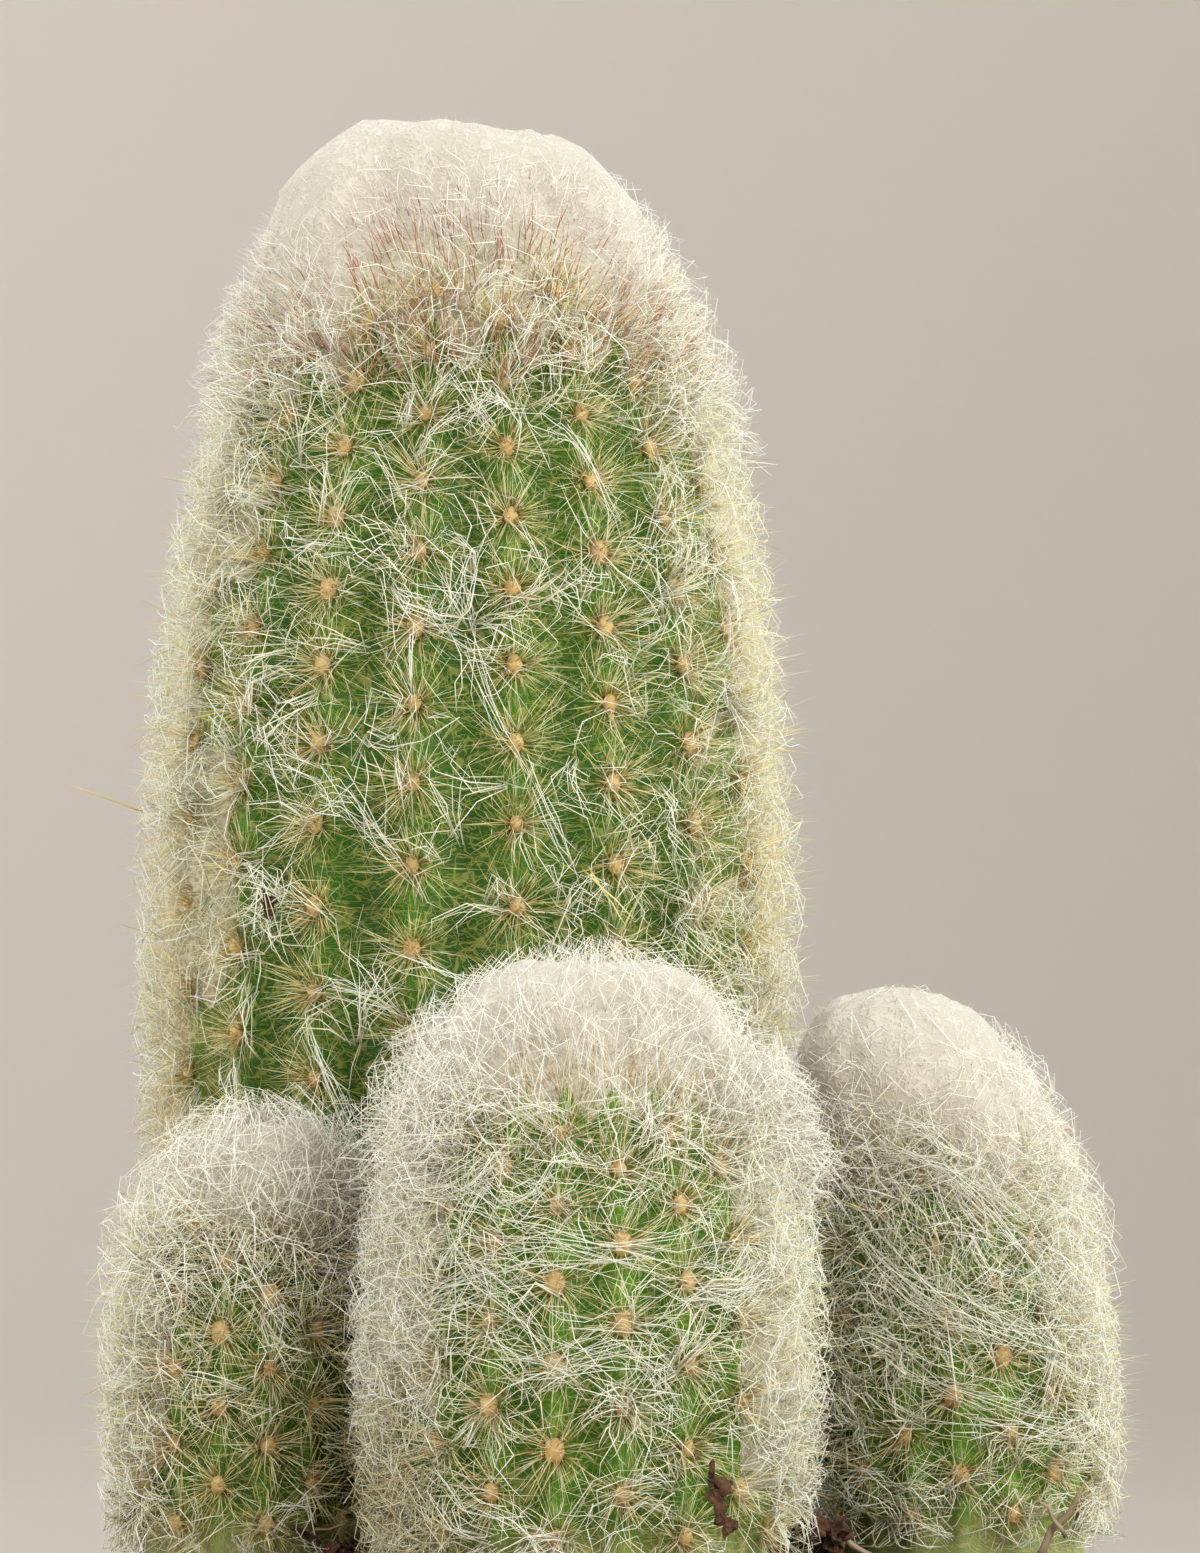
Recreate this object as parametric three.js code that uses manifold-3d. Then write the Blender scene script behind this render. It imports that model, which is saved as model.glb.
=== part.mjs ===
// Potted old man cactus: a tall woolly stem with three short offsets round its foot, in a clay pot.
// Millimetres, +Z up, origin at the middle of the pot's foot.

import * as THREE from 'three';
import { mergeVertices } from 'three/addons/utils/BufferGeometryUtils.js';
import Module from 'manifold-3d';

const wasm = await Module();
wasm.setup();

// Pot: a tapered clay body with a thicker band round the rim and a drain hole.
const potHeight = 95;
const rimRadius = 55;
const rimBand = 20;
const rimStep = 3;
const footRadius = 37;
const potWall = 4;
const potFloor = 7;
const drainRadius = 6;
const edgeRound = 1.2;
const potSides = 40;

// Soil: heaped over the rim round the stems, falling to the pot's wall, crumbly on top.
const soilLevel = 100;
const soilFall = 8.5;
const crumbHeight = 0.7;
const soilRings = 6;
const touchGap = 0.3;
const holeGap = 0.4;
const holeSides = 28;
const rootDepth = 14;

// Stems. Heights count from the soil. The lean is how far the tip stands off its foot.
// The pitch is the distance between two areoles on one rib, at the soil and at the tip.
const stems = {
  main: {
    foot: [-9.2, 15], lean: [0, 0], ribs: 18, radius: 20.4, height: 93, shoulder: 42,
    lowPitch: 6.8, highPitch: 4, spine: 4.6, woolRadius: 23.5, woolTop: 98.6, woolEdge: 87,
    woolLean: [-0.8, 0], capSides: 28,
  },
  front: {
    foot: [-0.7, -20], lean: [0, 0], ribs: 18, radius: 12.9, height: 36, shoulder: 15,
    lowPitch: 6, highPitch: 4, spine: 3.9, woolRadius: 15.8, woolTop: 40.7, woolEdge: 32,
    woolLean: [0, 0], capSides: 22,
  },
  left: {
    foot: [-23.8, -12], lean: [0.6, 1], ribs: 14, radius: 7.3, height: 27, shoulder: 14,
    lowPitch: 5.6, highPitch: 3.8, spine: 3.2, woolRadius: 9.5, woolTop: 31, woolEdge: 23.5,
    woolLean: [1.8, 1], capSides: 18,
  },
  right: {
    foot: [24.5, -2], lean: [-4, 0], ribs: 16, radius: 9.2, height: 34, shoulder: 15,
    lowPitch: 5.8, highPitch: 4, spine: 3.4, woolRadius: 11.8, woolTop: 38.4, woolEdge: 30,
    woolLean: [-4.6, 0], capSides: 20,
  },
};
const crownRise = 1.9;      // how soon the outline starts to close towards the tip
const crownRound = 2.6;     // how blunt the tip is
const footShare = 0.93;     // radius at the soil as a share of the fullest radius
const leanBend = 1.5;       // the lean grows faster towards the tip
const ribShare = 0.085;     // depth of the valleys between ribs, in radii
const notch = 0.45;         // dip between two areoles on one rib
const lineSteps = 400;

// Areoles: a raised felt pad from which three spines spread, a third of a turn apart.
const feltRadius = 0.75;
const feltFoot = 0.12;
const feltRise = 0.8;
const spineSpread = 0.4;    // sideways reach of a spine, in pitches
const shortestSpine = 1.3;
const bareFoot = 2;         // no areole stands lower than this over the soil
const spineGap = 0.4;

// Wool: a cap over each tip, tufted all over and ragged at its lower edge.
const capGap = 0.6;
const tuftShare = 0.075;    // height of a tuft, in radii of the wool
const ragged = 1.2;
const capRows = 8;
const liningRows = 5;

const clay = new THREE.MeshStandardMaterial({ color: 0xb8694a, roughness: 0.85, metalness: 0 });
const humus = new THREE.MeshStandardMaterial({ color: 0x3e301f, roughness: 0.95, metalness: 0 });
const flesh = new THREE.MeshStandardMaterial({ color: 0x6c783b, roughness: 0.7, metalness: 0 });
const wool = new THREE.MeshStandardMaterial({ color: 0xe3d9cb, roughness: 0.95, metalness: 0 });

// A repeatable draw between 0 and 1 for two whole numbers.
function scatter(a, b) {
  const wave = Math.sin(a * 12.9898 + b * 78.233) * 43758.5453;
  return wave - Math.floor(wave);
}

function closedGeometry(points, faces) {
  const geometry = new THREE.BufferGeometry();
  geometry.setAttribute('position', new THREE.Float32BufferAttribute(points.flat(), 3));
  geometry.setIndex(faces.flat());
  return geometry;
}

function toSolid(geometry) {
  const bare = geometry.clone();
  bare.deleteAttribute('normal');
  bare.deleteAttribute('uv');
  const merged = mergeVertices(bare, 1e-4);
  const vertProperties = new Float32Array(merged.attributes.position.array);
  const triVerts = new Uint32Array(merged.index.array);
  return new wasm.Manifold(new wasm.Mesh({ numProp: 3, vertProperties, triVerts }));
}

function fromSolid(solid) {
  const mesh = solid.getMesh();
  const geometry = new THREE.BufferGeometry();
  geometry.setAttribute('position', new THREE.BufferAttribute(mesh.vertProperties, 3));
  geometry.setIndex(new THREE.BufferAttribute(mesh.triVerts, 1));
  return geometry;
}

// Outer radius of the pot's body, and the straight line of its inner wall.
function potOuter(z) {
  return footRadius + (rimRadius - rimStep - footRadius) * z / potHeight;
}

function potInner(z) {
  return potOuter(z) - potWall;
}

function potGeometry() {
  const bandFoot = potHeight - rimBand;
  const bandRadius = rimRadius - 1;
  const round = edgeRound;
  const section = [
    [drainRadius, 0],
    [footRadius - round, 0],
    [potOuter(round), round],
    [potOuter(bandFoot), bandFoot],
    [bandRadius - round, bandFoot],
    [bandRadius, bandFoot + round],
    [rimRadius, potHeight - 1.6 * round],
    [rimRadius - 0.5 * round, potHeight - 0.5 * round],
    [rimRadius - 1.6 * round, potHeight],
    [potInner(potHeight) + round, potHeight],
    [potInner(potHeight - round), potHeight - round],
    [potInner(potFloor), potFloor],
    [drainRadius, potFloor],
    [drainRadius, 0],
  ];
  const points = section.map(([r, z]) => new THREE.Vector2(r, z));
  return new THREE.LatheGeometry(points, potSides).rotateX(Math.PI / 2);
}

// Height of the soil's surface at a distance from the pot's axis, without its crumbs.
function soilTop(radius) {
  const spread = radius / potInner(potHeight);
  return soilLevel - soilFall * spread ** 3;
}

function soilGeometry() {
  const floor = potFloor + touchGap;
  const points = [[0, 0, soilLevel]];
  const faces = [];
  const at = (ring, side) => 1 + ring * potSides + ((side + potSides) % potSides);
  for (let ring = 0; ring <= soilRings; ring += 1) {
    for (let side = 0; side < potSides; side += 1) {
      const angle = 2 * Math.PI * side / potSides;
      let radius = (potInner(soilLevel - soilFall) - touchGap) * (ring + 1) / soilRings;
      let z = soilTop(radius) + crumbHeight * (2 * scatter(ring, side) - 1);
      if (ring === soilRings - 1) {
        radius = potInner(z) - touchGap;
      } else if (ring === soilRings) {
        z = floor;
        radius = potInner(z) - touchGap;
      }
      points.push([radius * Math.cos(angle), radius * Math.sin(angle), z]);
    }
  }
  points.push([0, 0, floor]);
  const bottom = points.length - 1;
  for (let side = 0; side < potSides; side += 1) {
    faces.push([0, at(0, side), at(0, side + 1)]);
    for (let ring = 0; ring < soilRings; ring += 1) {
      faces.push([at(ring, side), at(ring + 1, side), at(ring + 1, side + 1)]);
      faces.push([at(ring, side), at(ring + 1, side + 1), at(ring, side + 1)]);
    }
    faces.push([bottom, at(soilRings, side + 1), at(soilRings, side)]);
  }
  let soil = toSolid(closedGeometry(points, faces));
  for (const stem of Object.values(stems)) {
    const depth = rootDepth + touchGap;
    const radius = (stem.radius * footShare + holeGap) / Math.cos(Math.PI / holeSides);
    const plug = new THREE.CylinderGeometry(radius, radius, 2 * depth, holeSides).rotateX(Math.PI / 2);
    plug.translate(stem.foot[0], stem.foot[1], soilLevel);
    soil = soil.subtract(toSolid(plug));
  }
  return fromSolid(soil);
}

// Points up a stem's outline from the soil to the tip, each with the length travelled to it.
function outline(stem, radius, height) {
  const line = [];
  let travelled = 0;
  for (let step = 0; step <= lineSteps; step += 1) {
    const turn = Math.PI / 2 * Math.max(2 * step / lineSteps - 1, 0);
    const straight = stem.shoulder * Math.min(2 * step / lineSteps, 1);
    const h = straight + (height - stem.shoulder) * Math.sin(turn) ** (2 / crownRise);
    const waist = 1 - (1 - footShare) * (1 - straight / stem.shoulder) ** 2;
    const r = radius * waist * Math.cos(turn) ** (2 / crownRound);
    if (step > 0) {
      travelled += Math.hypot(h - line[step - 1].h, r - line[step - 1].r);
    }
    line.push({ h, r, travelled });
  }
  line[lineSteps].r = 0;
  return line;
}

// The outline's point at a length travelled.
function pointAlong(line, length) {
  const next = line.find((point) => point.travelled >= length) ?? line[line.length - 1];
  const last = line[Math.max(line.indexOf(next) - 1, 0)];
  const span = next.travelled - last.travelled;
  const share = span > 0 ? (length - last.travelled) / span : 1;
  return { h: last.h + (next.h - last.h) * share, r: last.r + (next.r - last.r) * share };
}

function radiusAt(stem, h, radius, height) {
  const line = outline(stem, radius, height);
  const next = line.find((point) => point.h >= h);
  return next ? next.r : 0;
}

// Middle of a stem at a height over the soil.
function axisAt(stem, h, lean = stem.lean) {
  const share = Math.max(h / stem.height, 0) ** leanBend;
  return [stem.foot[0] + lean[0] * share, stem.foot[1] + lean[1] * share];
}

// Rows of the skin, half a pitch apart, closing up towards the tip. Two buried rows come first.
function skinRows(stem) {
  const line = outline(stem, stem.radius, stem.height);
  const length = line[lineSteps].travelled;
  const meanPitch = (stem.lowPitch + stem.highPitch) / 2;
  const closing = (stem.lowPitch - stem.highPitch) / (2 * meanPitch);
  const count = Math.round(2 * length / meanPitch);
  const rows = [
    { index: -2, h: -rootDepth, r: 0.5 * line[0].r, pitch: stem.lowPitch },
    { index: -1, h: -0.5 * rootDepth, r: 0.92 * line[0].r, pitch: stem.lowPitch },
  ];
  for (let index = 0; index <= count; index += 1) {
    const part = index / count;
    const along = length * ((1 + closing) * part - closing * part * part);
    const pitch = stem.lowPitch + (stem.highPitch - stem.lowPitch) * part;
    rows.push({ index, ...pointAlong(line, along), pitch });
  }
  return rows;
}

// How far a point lies outside a stem's body at its height: less than nothing is inside.
function clearance(stem, point, withWool) {
  const h = point.z - soilLevel;
  const covered = withWool && h > stem.woolEdge - ragged;
  const [x, y] = axisAt(stem, h, covered ? stem.woolLean : stem.lean);
  const body = covered
    ? radiusAt(stem, h, stem.woolRadius, stem.woolTop) + tuftShare * stem.woolRadius
    : radiusAt(stem, h, stem.radius, stem.height);
  return { covered, gap: Math.hypot(point.x - x, point.y - y) - body };
}

// A spine may use the space nearer to its own stem than to any other, over the soil, under the cap.
function hasRoom(name, tip) {
  const stem = stems[name];
  const h = tip.z - soilLevel;
  const own = clearance(stem, tip, false).gap;
  const beside = Object.entries(stems).every(([other, neighbour]) => {
    if (other === name) {
      return true;
    }
    const { covered, gap } = clearance(neighbour, tip, true);
    return gap > spineGap + (covered ? 0 : own);
  });
  return beside && h > crumbHeight + spineGap && h < stem.woolEdge - ragged - spineGap;
}

// The three spine tips of one areole, or nothing where a neighbour leaves them no room.
function spineTips(name, pad, pitch, spin, draw) {
  const stem = stems[name];
  const tips = [];
  for (let spine = 0; spine < 3; spine += 1) {
    const turn = spin + Math.PI / 2 + Math.PI / 3 + 2 * Math.PI / 3 * spine;
    const aside = pad.right.clone().multiplyScalar(Math.cos(turn));
    aside.addScaledVector(pad.up, Math.sin(turn));
    let length = stem.spine * (0.85 + 0.4 * scatter(draw, spine));
    let tip = null;
    while (tip === null && length > shortestSpine) {
      const reach = Math.min(spineSpread * pitch, 0.7 * length);
      const rise = Math.sqrt(length * length - reach * reach);
      const trial = pad.centre.clone().addScaledVector(pad.out, rise).addScaledVector(aside, reach);
      if (hasRoom(name, trial)) {
        tip = trial;
      }
      length *= 0.85;
    }
    if (tip === null) {
      return null;
    }
    tips.push(tip);
  }
  return tips;
}

function stemGeometry(name) {
  const stem = stems[name];
  const columns = 2 * stem.ribs;
  const rows = skinRows(stem);
  const middle = rows.slice(0, -1);
  const points = [];
  const faces = [];
  const at = (column, row) => row * columns + ((column + columns) % columns);
  const isAreole = (column, row) => (column / 2 + middle[row].index) % 2 === 0;

  const place = (column, { h, r, index }) => {
    const angle = Math.PI * column / stem.ribs;
    const [x, y] = axisAt(stem, h);
    let radius = r;
    if (column % 2 !== 0) {
      radius -= index < 0 ? 0 : ribShare * r;
    } else if (index > 0 && (column / 2 + index) % 2 !== 0) {
      radius -= Math.min(notch, 0.05 * r);
    }
    return [x + radius * Math.cos(angle), y + radius * Math.sin(angle), soilLevel + h];
  };
  for (const row of middle) {
    for (let column = 0; column < columns; column += 1) {
      points.push(place(column, row));
    }
  }
  const vertex = (index) => new THREE.Vector3(...points[index]);

  // Pads and spines, on every second crest vertex up each rib.
  const tufted = new Set();
  const addTuft = (column, row) => {
    const ring = [at(column + 1, row), at(column, row + 1), at(column - 1, row), at(column, row - 1)];
    const centre = vertex(at(column, row));
    const right = vertex(ring[0]).sub(vertex(ring[2])).normalize();
    const rough = vertex(ring[1]).sub(vertex(ring[3])).normalize();
    const out = right.clone().cross(rough).normalize();
    const up = out.clone().cross(right);
    const draw = at(column, row);
    const quarter = Math.floor(4 * scatter(draw, 9));
    const spin = Math.PI / 2 * quarter;
    const tips = spineTips(name, { centre, right, up, out }, middle[row].pitch, spin, draw);
    if (tips === null) {
      return;
    }
    tufted.add(draw);
    const base = points.length;
    for (let corner = 0; corner < 3; corner += 1) {
      const turn = spin + Math.PI / 2 + 2 * Math.PI / 3 * corner;
      const foot = centre.clone().addScaledVector(out, feltFoot);
      foot.addScaledVector(right, feltRadius * Math.cos(turn));
      foot.addScaledVector(up, feltRadius * Math.sin(turn));
      points.push(foot.toArray());
    }
    points.push(centre.clone().addScaledVector(out, feltRise).toArray());
    points.push(...tips.map((tip) => tip.toArray()));
    const [east, north, west, south] = [0, 1, 2, 3].map((side) => ring[(side + quarter) % 4]);
    const [a, b, c, peak] = [base, base + 1, base + 2, base + 3];
    faces.push([east, north, a], [north, west, a], [a, west, b], [west, south, b]);
    faces.push([b, south, c], [south, east, c], [c, east, a]);
    [[a, b], [b, c], [c, a]].forEach(([from, to], spine) => {
      const tip = base + 4 + spine;
      faces.push([from, to, tip], [to, peak, tip], [peak, from, tip]);
    });
  };
  for (let row = 3; row < middle.length - 1; row += 1) {
    const { h } = middle[row];
    for (let column = 0; column < columns; column += 2) {
      if (isAreole(column, row) && h > bareFoot && h < stem.woolEdge - bareFoot) {
        addTuft(column, row);
      }
    }
  }

  // Skin: each four-sided patch is split so that one half belongs to the areole at its corner.
  for (let row = 0; row < middle.length - 1; row += 1) {
    for (let column = 0; column < columns; column += 1) {
      const [a, b] = [at(column, row), at(column + 1, row)];
      const [d, c] = [at(column, row + 1), at(column + 1, row + 1)];
      const crest = (column % 2 === 0 ? column : column + 1) % columns;
      const low = isAreole(crest, row);
      const left = column % 2 === 0;
      const areole = at(crest, low ? row : row + 1);
      const halves = left === low ? [[a, b, d], [b, c, d]] : [[a, b, c], [a, c, d]];
      faces.push(...halves.filter((half) => !(half.includes(areole) && tufted.has(areole))));
    }
  }

  // Flat root end, and the tip.
  const tip = rows[rows.length - 1];
  const [rootX, rootY] = axisAt(stem, -rootDepth);
  const [tipX, tipY] = axisAt(stem, tip.h);
  const rootEnd = points.push([rootX, rootY, soilLevel - rootDepth]) - 1;
  const tipEnd = points.push([tipX, tipY, soilLevel + tip.h]) - 1;
  const top = middle.length - 1;
  for (let column = 0; column < columns; column += 1) {
    faces.push([rootEnd, at(column + 1, 0), at(column, 0)]);
    faces.push([tipEnd, at(column, top), at(column + 1, top)]);
  }
  return mergeVertices(closedGeometry(points, faces).toNonIndexed(), 1e-5);
}

// A cap of wool: an outer skin of tufts, and an inner one that clears the stem's tip.
function capGeometry(name) {
  const stem = stems[name];
  const sides = stem.capSides;
  const points = [];
  const faces = [];
  const addSkin = (radius, height, lean, rows, tufts) => {
    const line = outline(stem, radius, height);
    const start = line.find((point) => point.h >= stem.woolEdge).travelled;
    const length = line[lineSteps].travelled - start;
    const first = points.length;
    for (let row = 0; row < rows; row += 1) {
      const { h, r } = pointAlong(line, start + length * row / rows);
      const [x, y] = axisAt(stem, h, lean);
      for (let side = 0; side < sides; side += 1) {
        const angle = 2 * Math.PI * side / sides;
        const raised = (side + row) % 2 === 0 ? 0.5 + 0.5 * scatter(side, row) : -0.35;
        const tuft = tufts * raised * Math.min(r / (0.4 * radius), 1);
        const hem = tufts > 0 ? -ragged * Math.max(raised, 0) : 0;
        const lift = row === 0 ? hem : tuft * (1 - r / radius);
        const wide = r + tuft * r / radius;
        points.push([x + wide * Math.cos(angle), y + wide * Math.sin(angle), soilLevel + h + lift]);
      }
    }
    const [x, y] = axisAt(stem, height, lean);
    points.push([x, y, soilLevel + height]);
    return first;
  };
  const tuft = tuftShare * stem.woolRadius;
  const outer = addSkin(stem.woolRadius, stem.woolTop, stem.woolLean, capRows, tuft);
  const inner = addSkin(stem.radius + capGap, stem.height + capGap, stem.lean, liningRows, 0);
  const skin = (first, rows, outward) => {
    const at = (side, row) => (row === rows ? first + rows * sides : first + row * sides + side % sides);
    for (let row = 0; row < rows; row += 1) {
      for (let side = 0; side < sides; side += 1) {
        const [a, b] = [at(side, row), at(side + 1, row)];
        const [d, c] = [at(side, row + 1), at(side + 1, row + 1)];
        const raised = (side + row) % 2 === 0;    // the tufts stand apart, with no ridge between them
        let halves = raised ? [[a, b, d], [b, c, d]] : [[a, b, c], [a, c, d]];
        if (row === rows - 1) {
          halves = [[a, b, c]];
        }
        faces.push(...halves.map((half) => (outward ? half : half.reverse())));
      }
    }
  };
  skin(outer, capRows, true);
  skin(inner, liningRows, false);
  for (let side = 0; side < sides; side += 1) {
    const next = (side + 1) % sides;
    faces.push([inner + side, inner + next, outer + next], [inner + side, outer + next, outer + side]);
  }
  return closedGeometry(points, faces);
}

function addPiece(group, name, geometry, material) {
  const mesh = new THREE.Mesh(geometry, material);
  mesh.name = name;
  group.add(mesh);
}

const cactus = new THREE.Group();
addPiece(cactus, 'pot', potGeometry(), clay);
addPiece(cactus, 'soil', soilGeometry(), humus);
for (const name of Object.keys(stems)) {
  addPiece(cactus, `${name}_stem`, stemGeometry(name), flesh);
  addPiece(cactus, `${name}_wool`, capGeometry(name), wool);
}

export default cactus;
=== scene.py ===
import math

import bmesh
import bpy
import numpy as np
from mathutils import Euler, Matrix, Vector, noise
from mathutils.bvhtree import BVHTree


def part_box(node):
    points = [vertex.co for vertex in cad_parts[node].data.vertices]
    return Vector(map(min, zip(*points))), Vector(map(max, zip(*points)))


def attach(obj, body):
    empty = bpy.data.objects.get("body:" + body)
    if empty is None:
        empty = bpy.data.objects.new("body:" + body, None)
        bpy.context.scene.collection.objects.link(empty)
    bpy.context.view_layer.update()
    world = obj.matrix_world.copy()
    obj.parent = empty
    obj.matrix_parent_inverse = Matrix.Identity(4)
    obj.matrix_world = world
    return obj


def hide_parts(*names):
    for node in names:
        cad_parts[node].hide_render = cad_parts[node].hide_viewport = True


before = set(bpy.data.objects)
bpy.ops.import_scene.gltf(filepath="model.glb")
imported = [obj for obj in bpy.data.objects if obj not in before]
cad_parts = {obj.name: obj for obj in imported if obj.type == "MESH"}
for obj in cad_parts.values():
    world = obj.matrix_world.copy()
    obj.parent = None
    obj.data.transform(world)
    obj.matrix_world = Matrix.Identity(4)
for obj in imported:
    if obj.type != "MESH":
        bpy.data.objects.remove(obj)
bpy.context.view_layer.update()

mm = 0.001
scene = bpy.context.scene
scene.view_settings.view_transform = "Standard"


# colours, nodes and materials

def hexColour(code):
    parts = [int(code[i:i + 2], 16) / 255 for i in (1, 3, 5)]
    return [c / 12.92 if c <= 0.04045 else ((c + 0.055) / 1.055) ** 2.4 for c in parts] + [1.0]


# Gives one output of the new node, or the node itself. The inputs are listed in order, or by number or name,
# and each is a socket, a number or a colour code. A ramp has its stops as well.
def addNode(tree, kind, inputs=(), out=0, stops=(), **settings):
    node = tree.nodes.new("ShaderNode" + kind)
    for key, value in settings.items():
        setattr(node, key, value)
    for index, (place, code) in enumerate(stops):
        ramp = node.color_ramp.elements
        element = ramp[index] if index < len(ramp) else ramp.new(place)
        element.position = place
        element.color = hexColour(code)
    for key, value in (inputs if isinstance(inputs, dict) else dict(enumerate(inputs))).items():
        if isinstance(value, bpy.types.NodeSocket):
            tree.links.new(value, node.inputs[key])
        else:
            node.inputs[key].default_value = hexColour(value) if isinstance(value, str) else value
    return node if out is None else node.outputs[out]


def objectNoise(tree, sizeMm, detail, rough, stretch=(1, 1, 1)):
    scaled = addNode(tree, "Mapping", {"Vector": addNode(tree, "TexCoord", out="Object"), "Scale": stretch})
    return addNode(tree, "TexNoise", {"Vector": scaled, "Scale": 1000 / sizeMm, "Detail": detail,
                                      "Roughness": rough})


def newMaterial(name):
    material = bpy.data.materials.new(name)
    material.use_nodes = True
    material.node_tree.nodes.clear()
    return material, material.node_tree


def finishSurface(tree, colour, roughness, specular, more=None):
    surface = {"Base Color": colour, "Roughness": roughness, "Specular IOR Level": specular}
    surface.update(more or {})
    shader = addNode(tree, "BsdfPrincipled", surface)
    addNode(tree, "OutputMaterial", {"Surface": shader}, None)


# camera, lights and backdrop

view = {
    "eyeHeight": 152.5 * mm,
    "distance": 635 * mm,
    "lens": 215,            # a long lens, so that the stems keep their proportions
    "aim": (0, 0, 0.13),    # where the lamps point
}

light = {
    "key": {"place": (0.8, -0.75, 0.6), "size": 0.8, "power": 14.0, "colour": "#f9feff"},
    "fill": {"place": (-1.0, -0.7, 0.35), "size": 1.0, "power": 7.9, "colour": "#f4fbff"},
    "top": {"place": (-0.1, 0.25, 0.95), "size": 0.8, "power": 3.2, "colour": "#f9feff"},
    "rimLeft": {"place": (-1.0, 0.5, 0.35), "size": 0.7, "power": 3.8, "colour": "#f9feff"},
    "rimRight": {"place": (1.0, 0.5, 0.35), "size": 0.7, "power": 5.0, "colour": "#f9feff"},
}

stage = {
    "floor": 1.6,           # radius of the flat floor
    "fillet": 1.4,
    "height": 3.6,
    "lit": "#e8ded6",       # painted light and shade: the wall's colour fades from a lit to a shaded tone, from upper left to lower right
    "shaded": "#c5bcb2",
    "fade": (-0.22, 0.67),
    "near": "#b6afa8",      # painted shade: the floor round the pot, nearest to the lamps, is darker
    "nearReach": (0.5, 1.3),
    "ambient": 1.13,
    "ambientColour": "#f6fdff",
}


def addCamera():
    data = bpy.data.cameras.new("camera")
    data.lens = view["lens"]
    data.sensor_width = 36
    data.clip_start = 0.01
    camera = bpy.data.objects.new("camera", data)
    camera.location = (0, -view["distance"], view["eyeHeight"])
    camera.rotation_euler = (math.radians(90), 0, 0)
    scene.collection.objects.link(camera)
    scene.camera = camera


def addLights():
    for name, item in light.items():
        data = bpy.data.lights.new(name, "AREA")
        data.shape = "DISK"
        data.size = item["size"]
        data.energy = item["power"]
        data.color = hexColour(item["colour"])[:3]
        lamp = bpy.data.objects.new(name, data)
        lamp.location = item["place"]
        way = Vector(view["aim"]) - Vector(item["place"])
        lamp.rotation_euler = way.to_track_quat("-Z", "Y").to_euler()
        scene.collection.objects.link(lamp)
    scene.world = bpy.data.worlds.new("studio")
    scene.world.use_nodes = True
    background = scene.world.node_tree.nodes["Background"]
    background.inputs["Color"].default_value = hexColour(stage["ambientColour"])
    background.inputs["Strength"].default_value = stage["ambient"]


def link(name, bm, material, smooth=True):
    mesh = bpy.data.meshes.new(name)
    bm.to_mesh(mesh)
    bm.free()
    mesh.materials.append(material)
    mesh.polygons.foreach_set("use_smooth", [smooth] * len(mesh.polygons))
    piece = bpy.data.objects.new(name, mesh)
    scene.collection.objects.link(piece)
    return piece


# Turns a profile of (radius, height) points round the upright axis.
def spinProfile(profile, steps, closed=False):
    bm = bmesh.new()
    verts = [bm.verts.new((r, 0, z)) for r, z in profile]
    edges = [bm.edges.new(pair) for pair in zip(verts, verts[1:] + (verts[:1] if closed else []))]
    bmesh.ops.spin(bm, geom=verts + edges, cent=(0, 0, 0), axis=(0, 0, 1), angle=2 * math.pi,
                   steps=steps, use_merge=True)
    bmesh.ops.remove_doubles(bm, verts=bm.verts, dist=1e-6)
    bmesh.ops.recalc_face_normals(bm, faces=bm.faces)
    return bm


def addStage():
    # plaster sweep: a matt bowl all round, so that every side has the same backdrop, with painted light and
    # shade in its colour
    material, tree = newMaterial("plaster with painted shade")
    place = addNode(tree, "TexCoord", out="Object")
    # painted light and shade: the wall is lighter to the upper left and darker to the lower right
    across = addNode(tree, "VectorMath", [place, (-1, 0, 1)], "Value", operation="DOT_PRODUCT")
    share = addNode(tree, "MapRange", [across, *stage["fade"]])
    wall = addNode(tree, "ValToRGB", [share], stops=[(0.0, stage["shaded"]), (1.0, stage["lit"])])
    # painted shade: the floor is darker round the pot
    away = addNode(tree, "VectorMath", [place], "Value", operation="LENGTH")
    far = addNode(tree, "MapRange", [away, *stage["nearReach"]])
    painted = addNode(tree, "Mix", {0: far, 6: stage["near"], 7: wall}, 2, data_type="RGBA")
    finishSurface(tree, painted, 0.95, 0.1)
    corner = [(stage["floor"] + stage["fillet"] * math.sin(a), stage["fillet"] * (1 - math.cos(a)))
              for a in np.linspace(0, math.pi / 2, 17)]
    profile = [(0.0, 0.0)] + corner + [(stage["floor"] + stage["fillet"], stage["height"])]
    bm = spinProfile(profile, 64)
    bmesh.ops.reverse_faces(bm, faces=bm.faces)
    link("backdrop", bm, material)


addCamera()
addLights()
addStage()
print("camera, lights and backdrop")


# stems: each is read from its solid, with the same outline rule

growth = {
    "rootDepth": 14 * mm,
    "rootShare": 0.5,       # the root end's radius as a share of the radius at the soil
    "neckShare": 0.92,      # the same half-way up the root
    "footShare": 0.93,      # radius at the soil as a share of the fullest
    "crownRise": 1.9,
    "crownRound": 2.6,
    "leanBend": 1.5,
    "ribShare": 0.085,
    "lowestAreole": 1.5 * mm,
}

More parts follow.
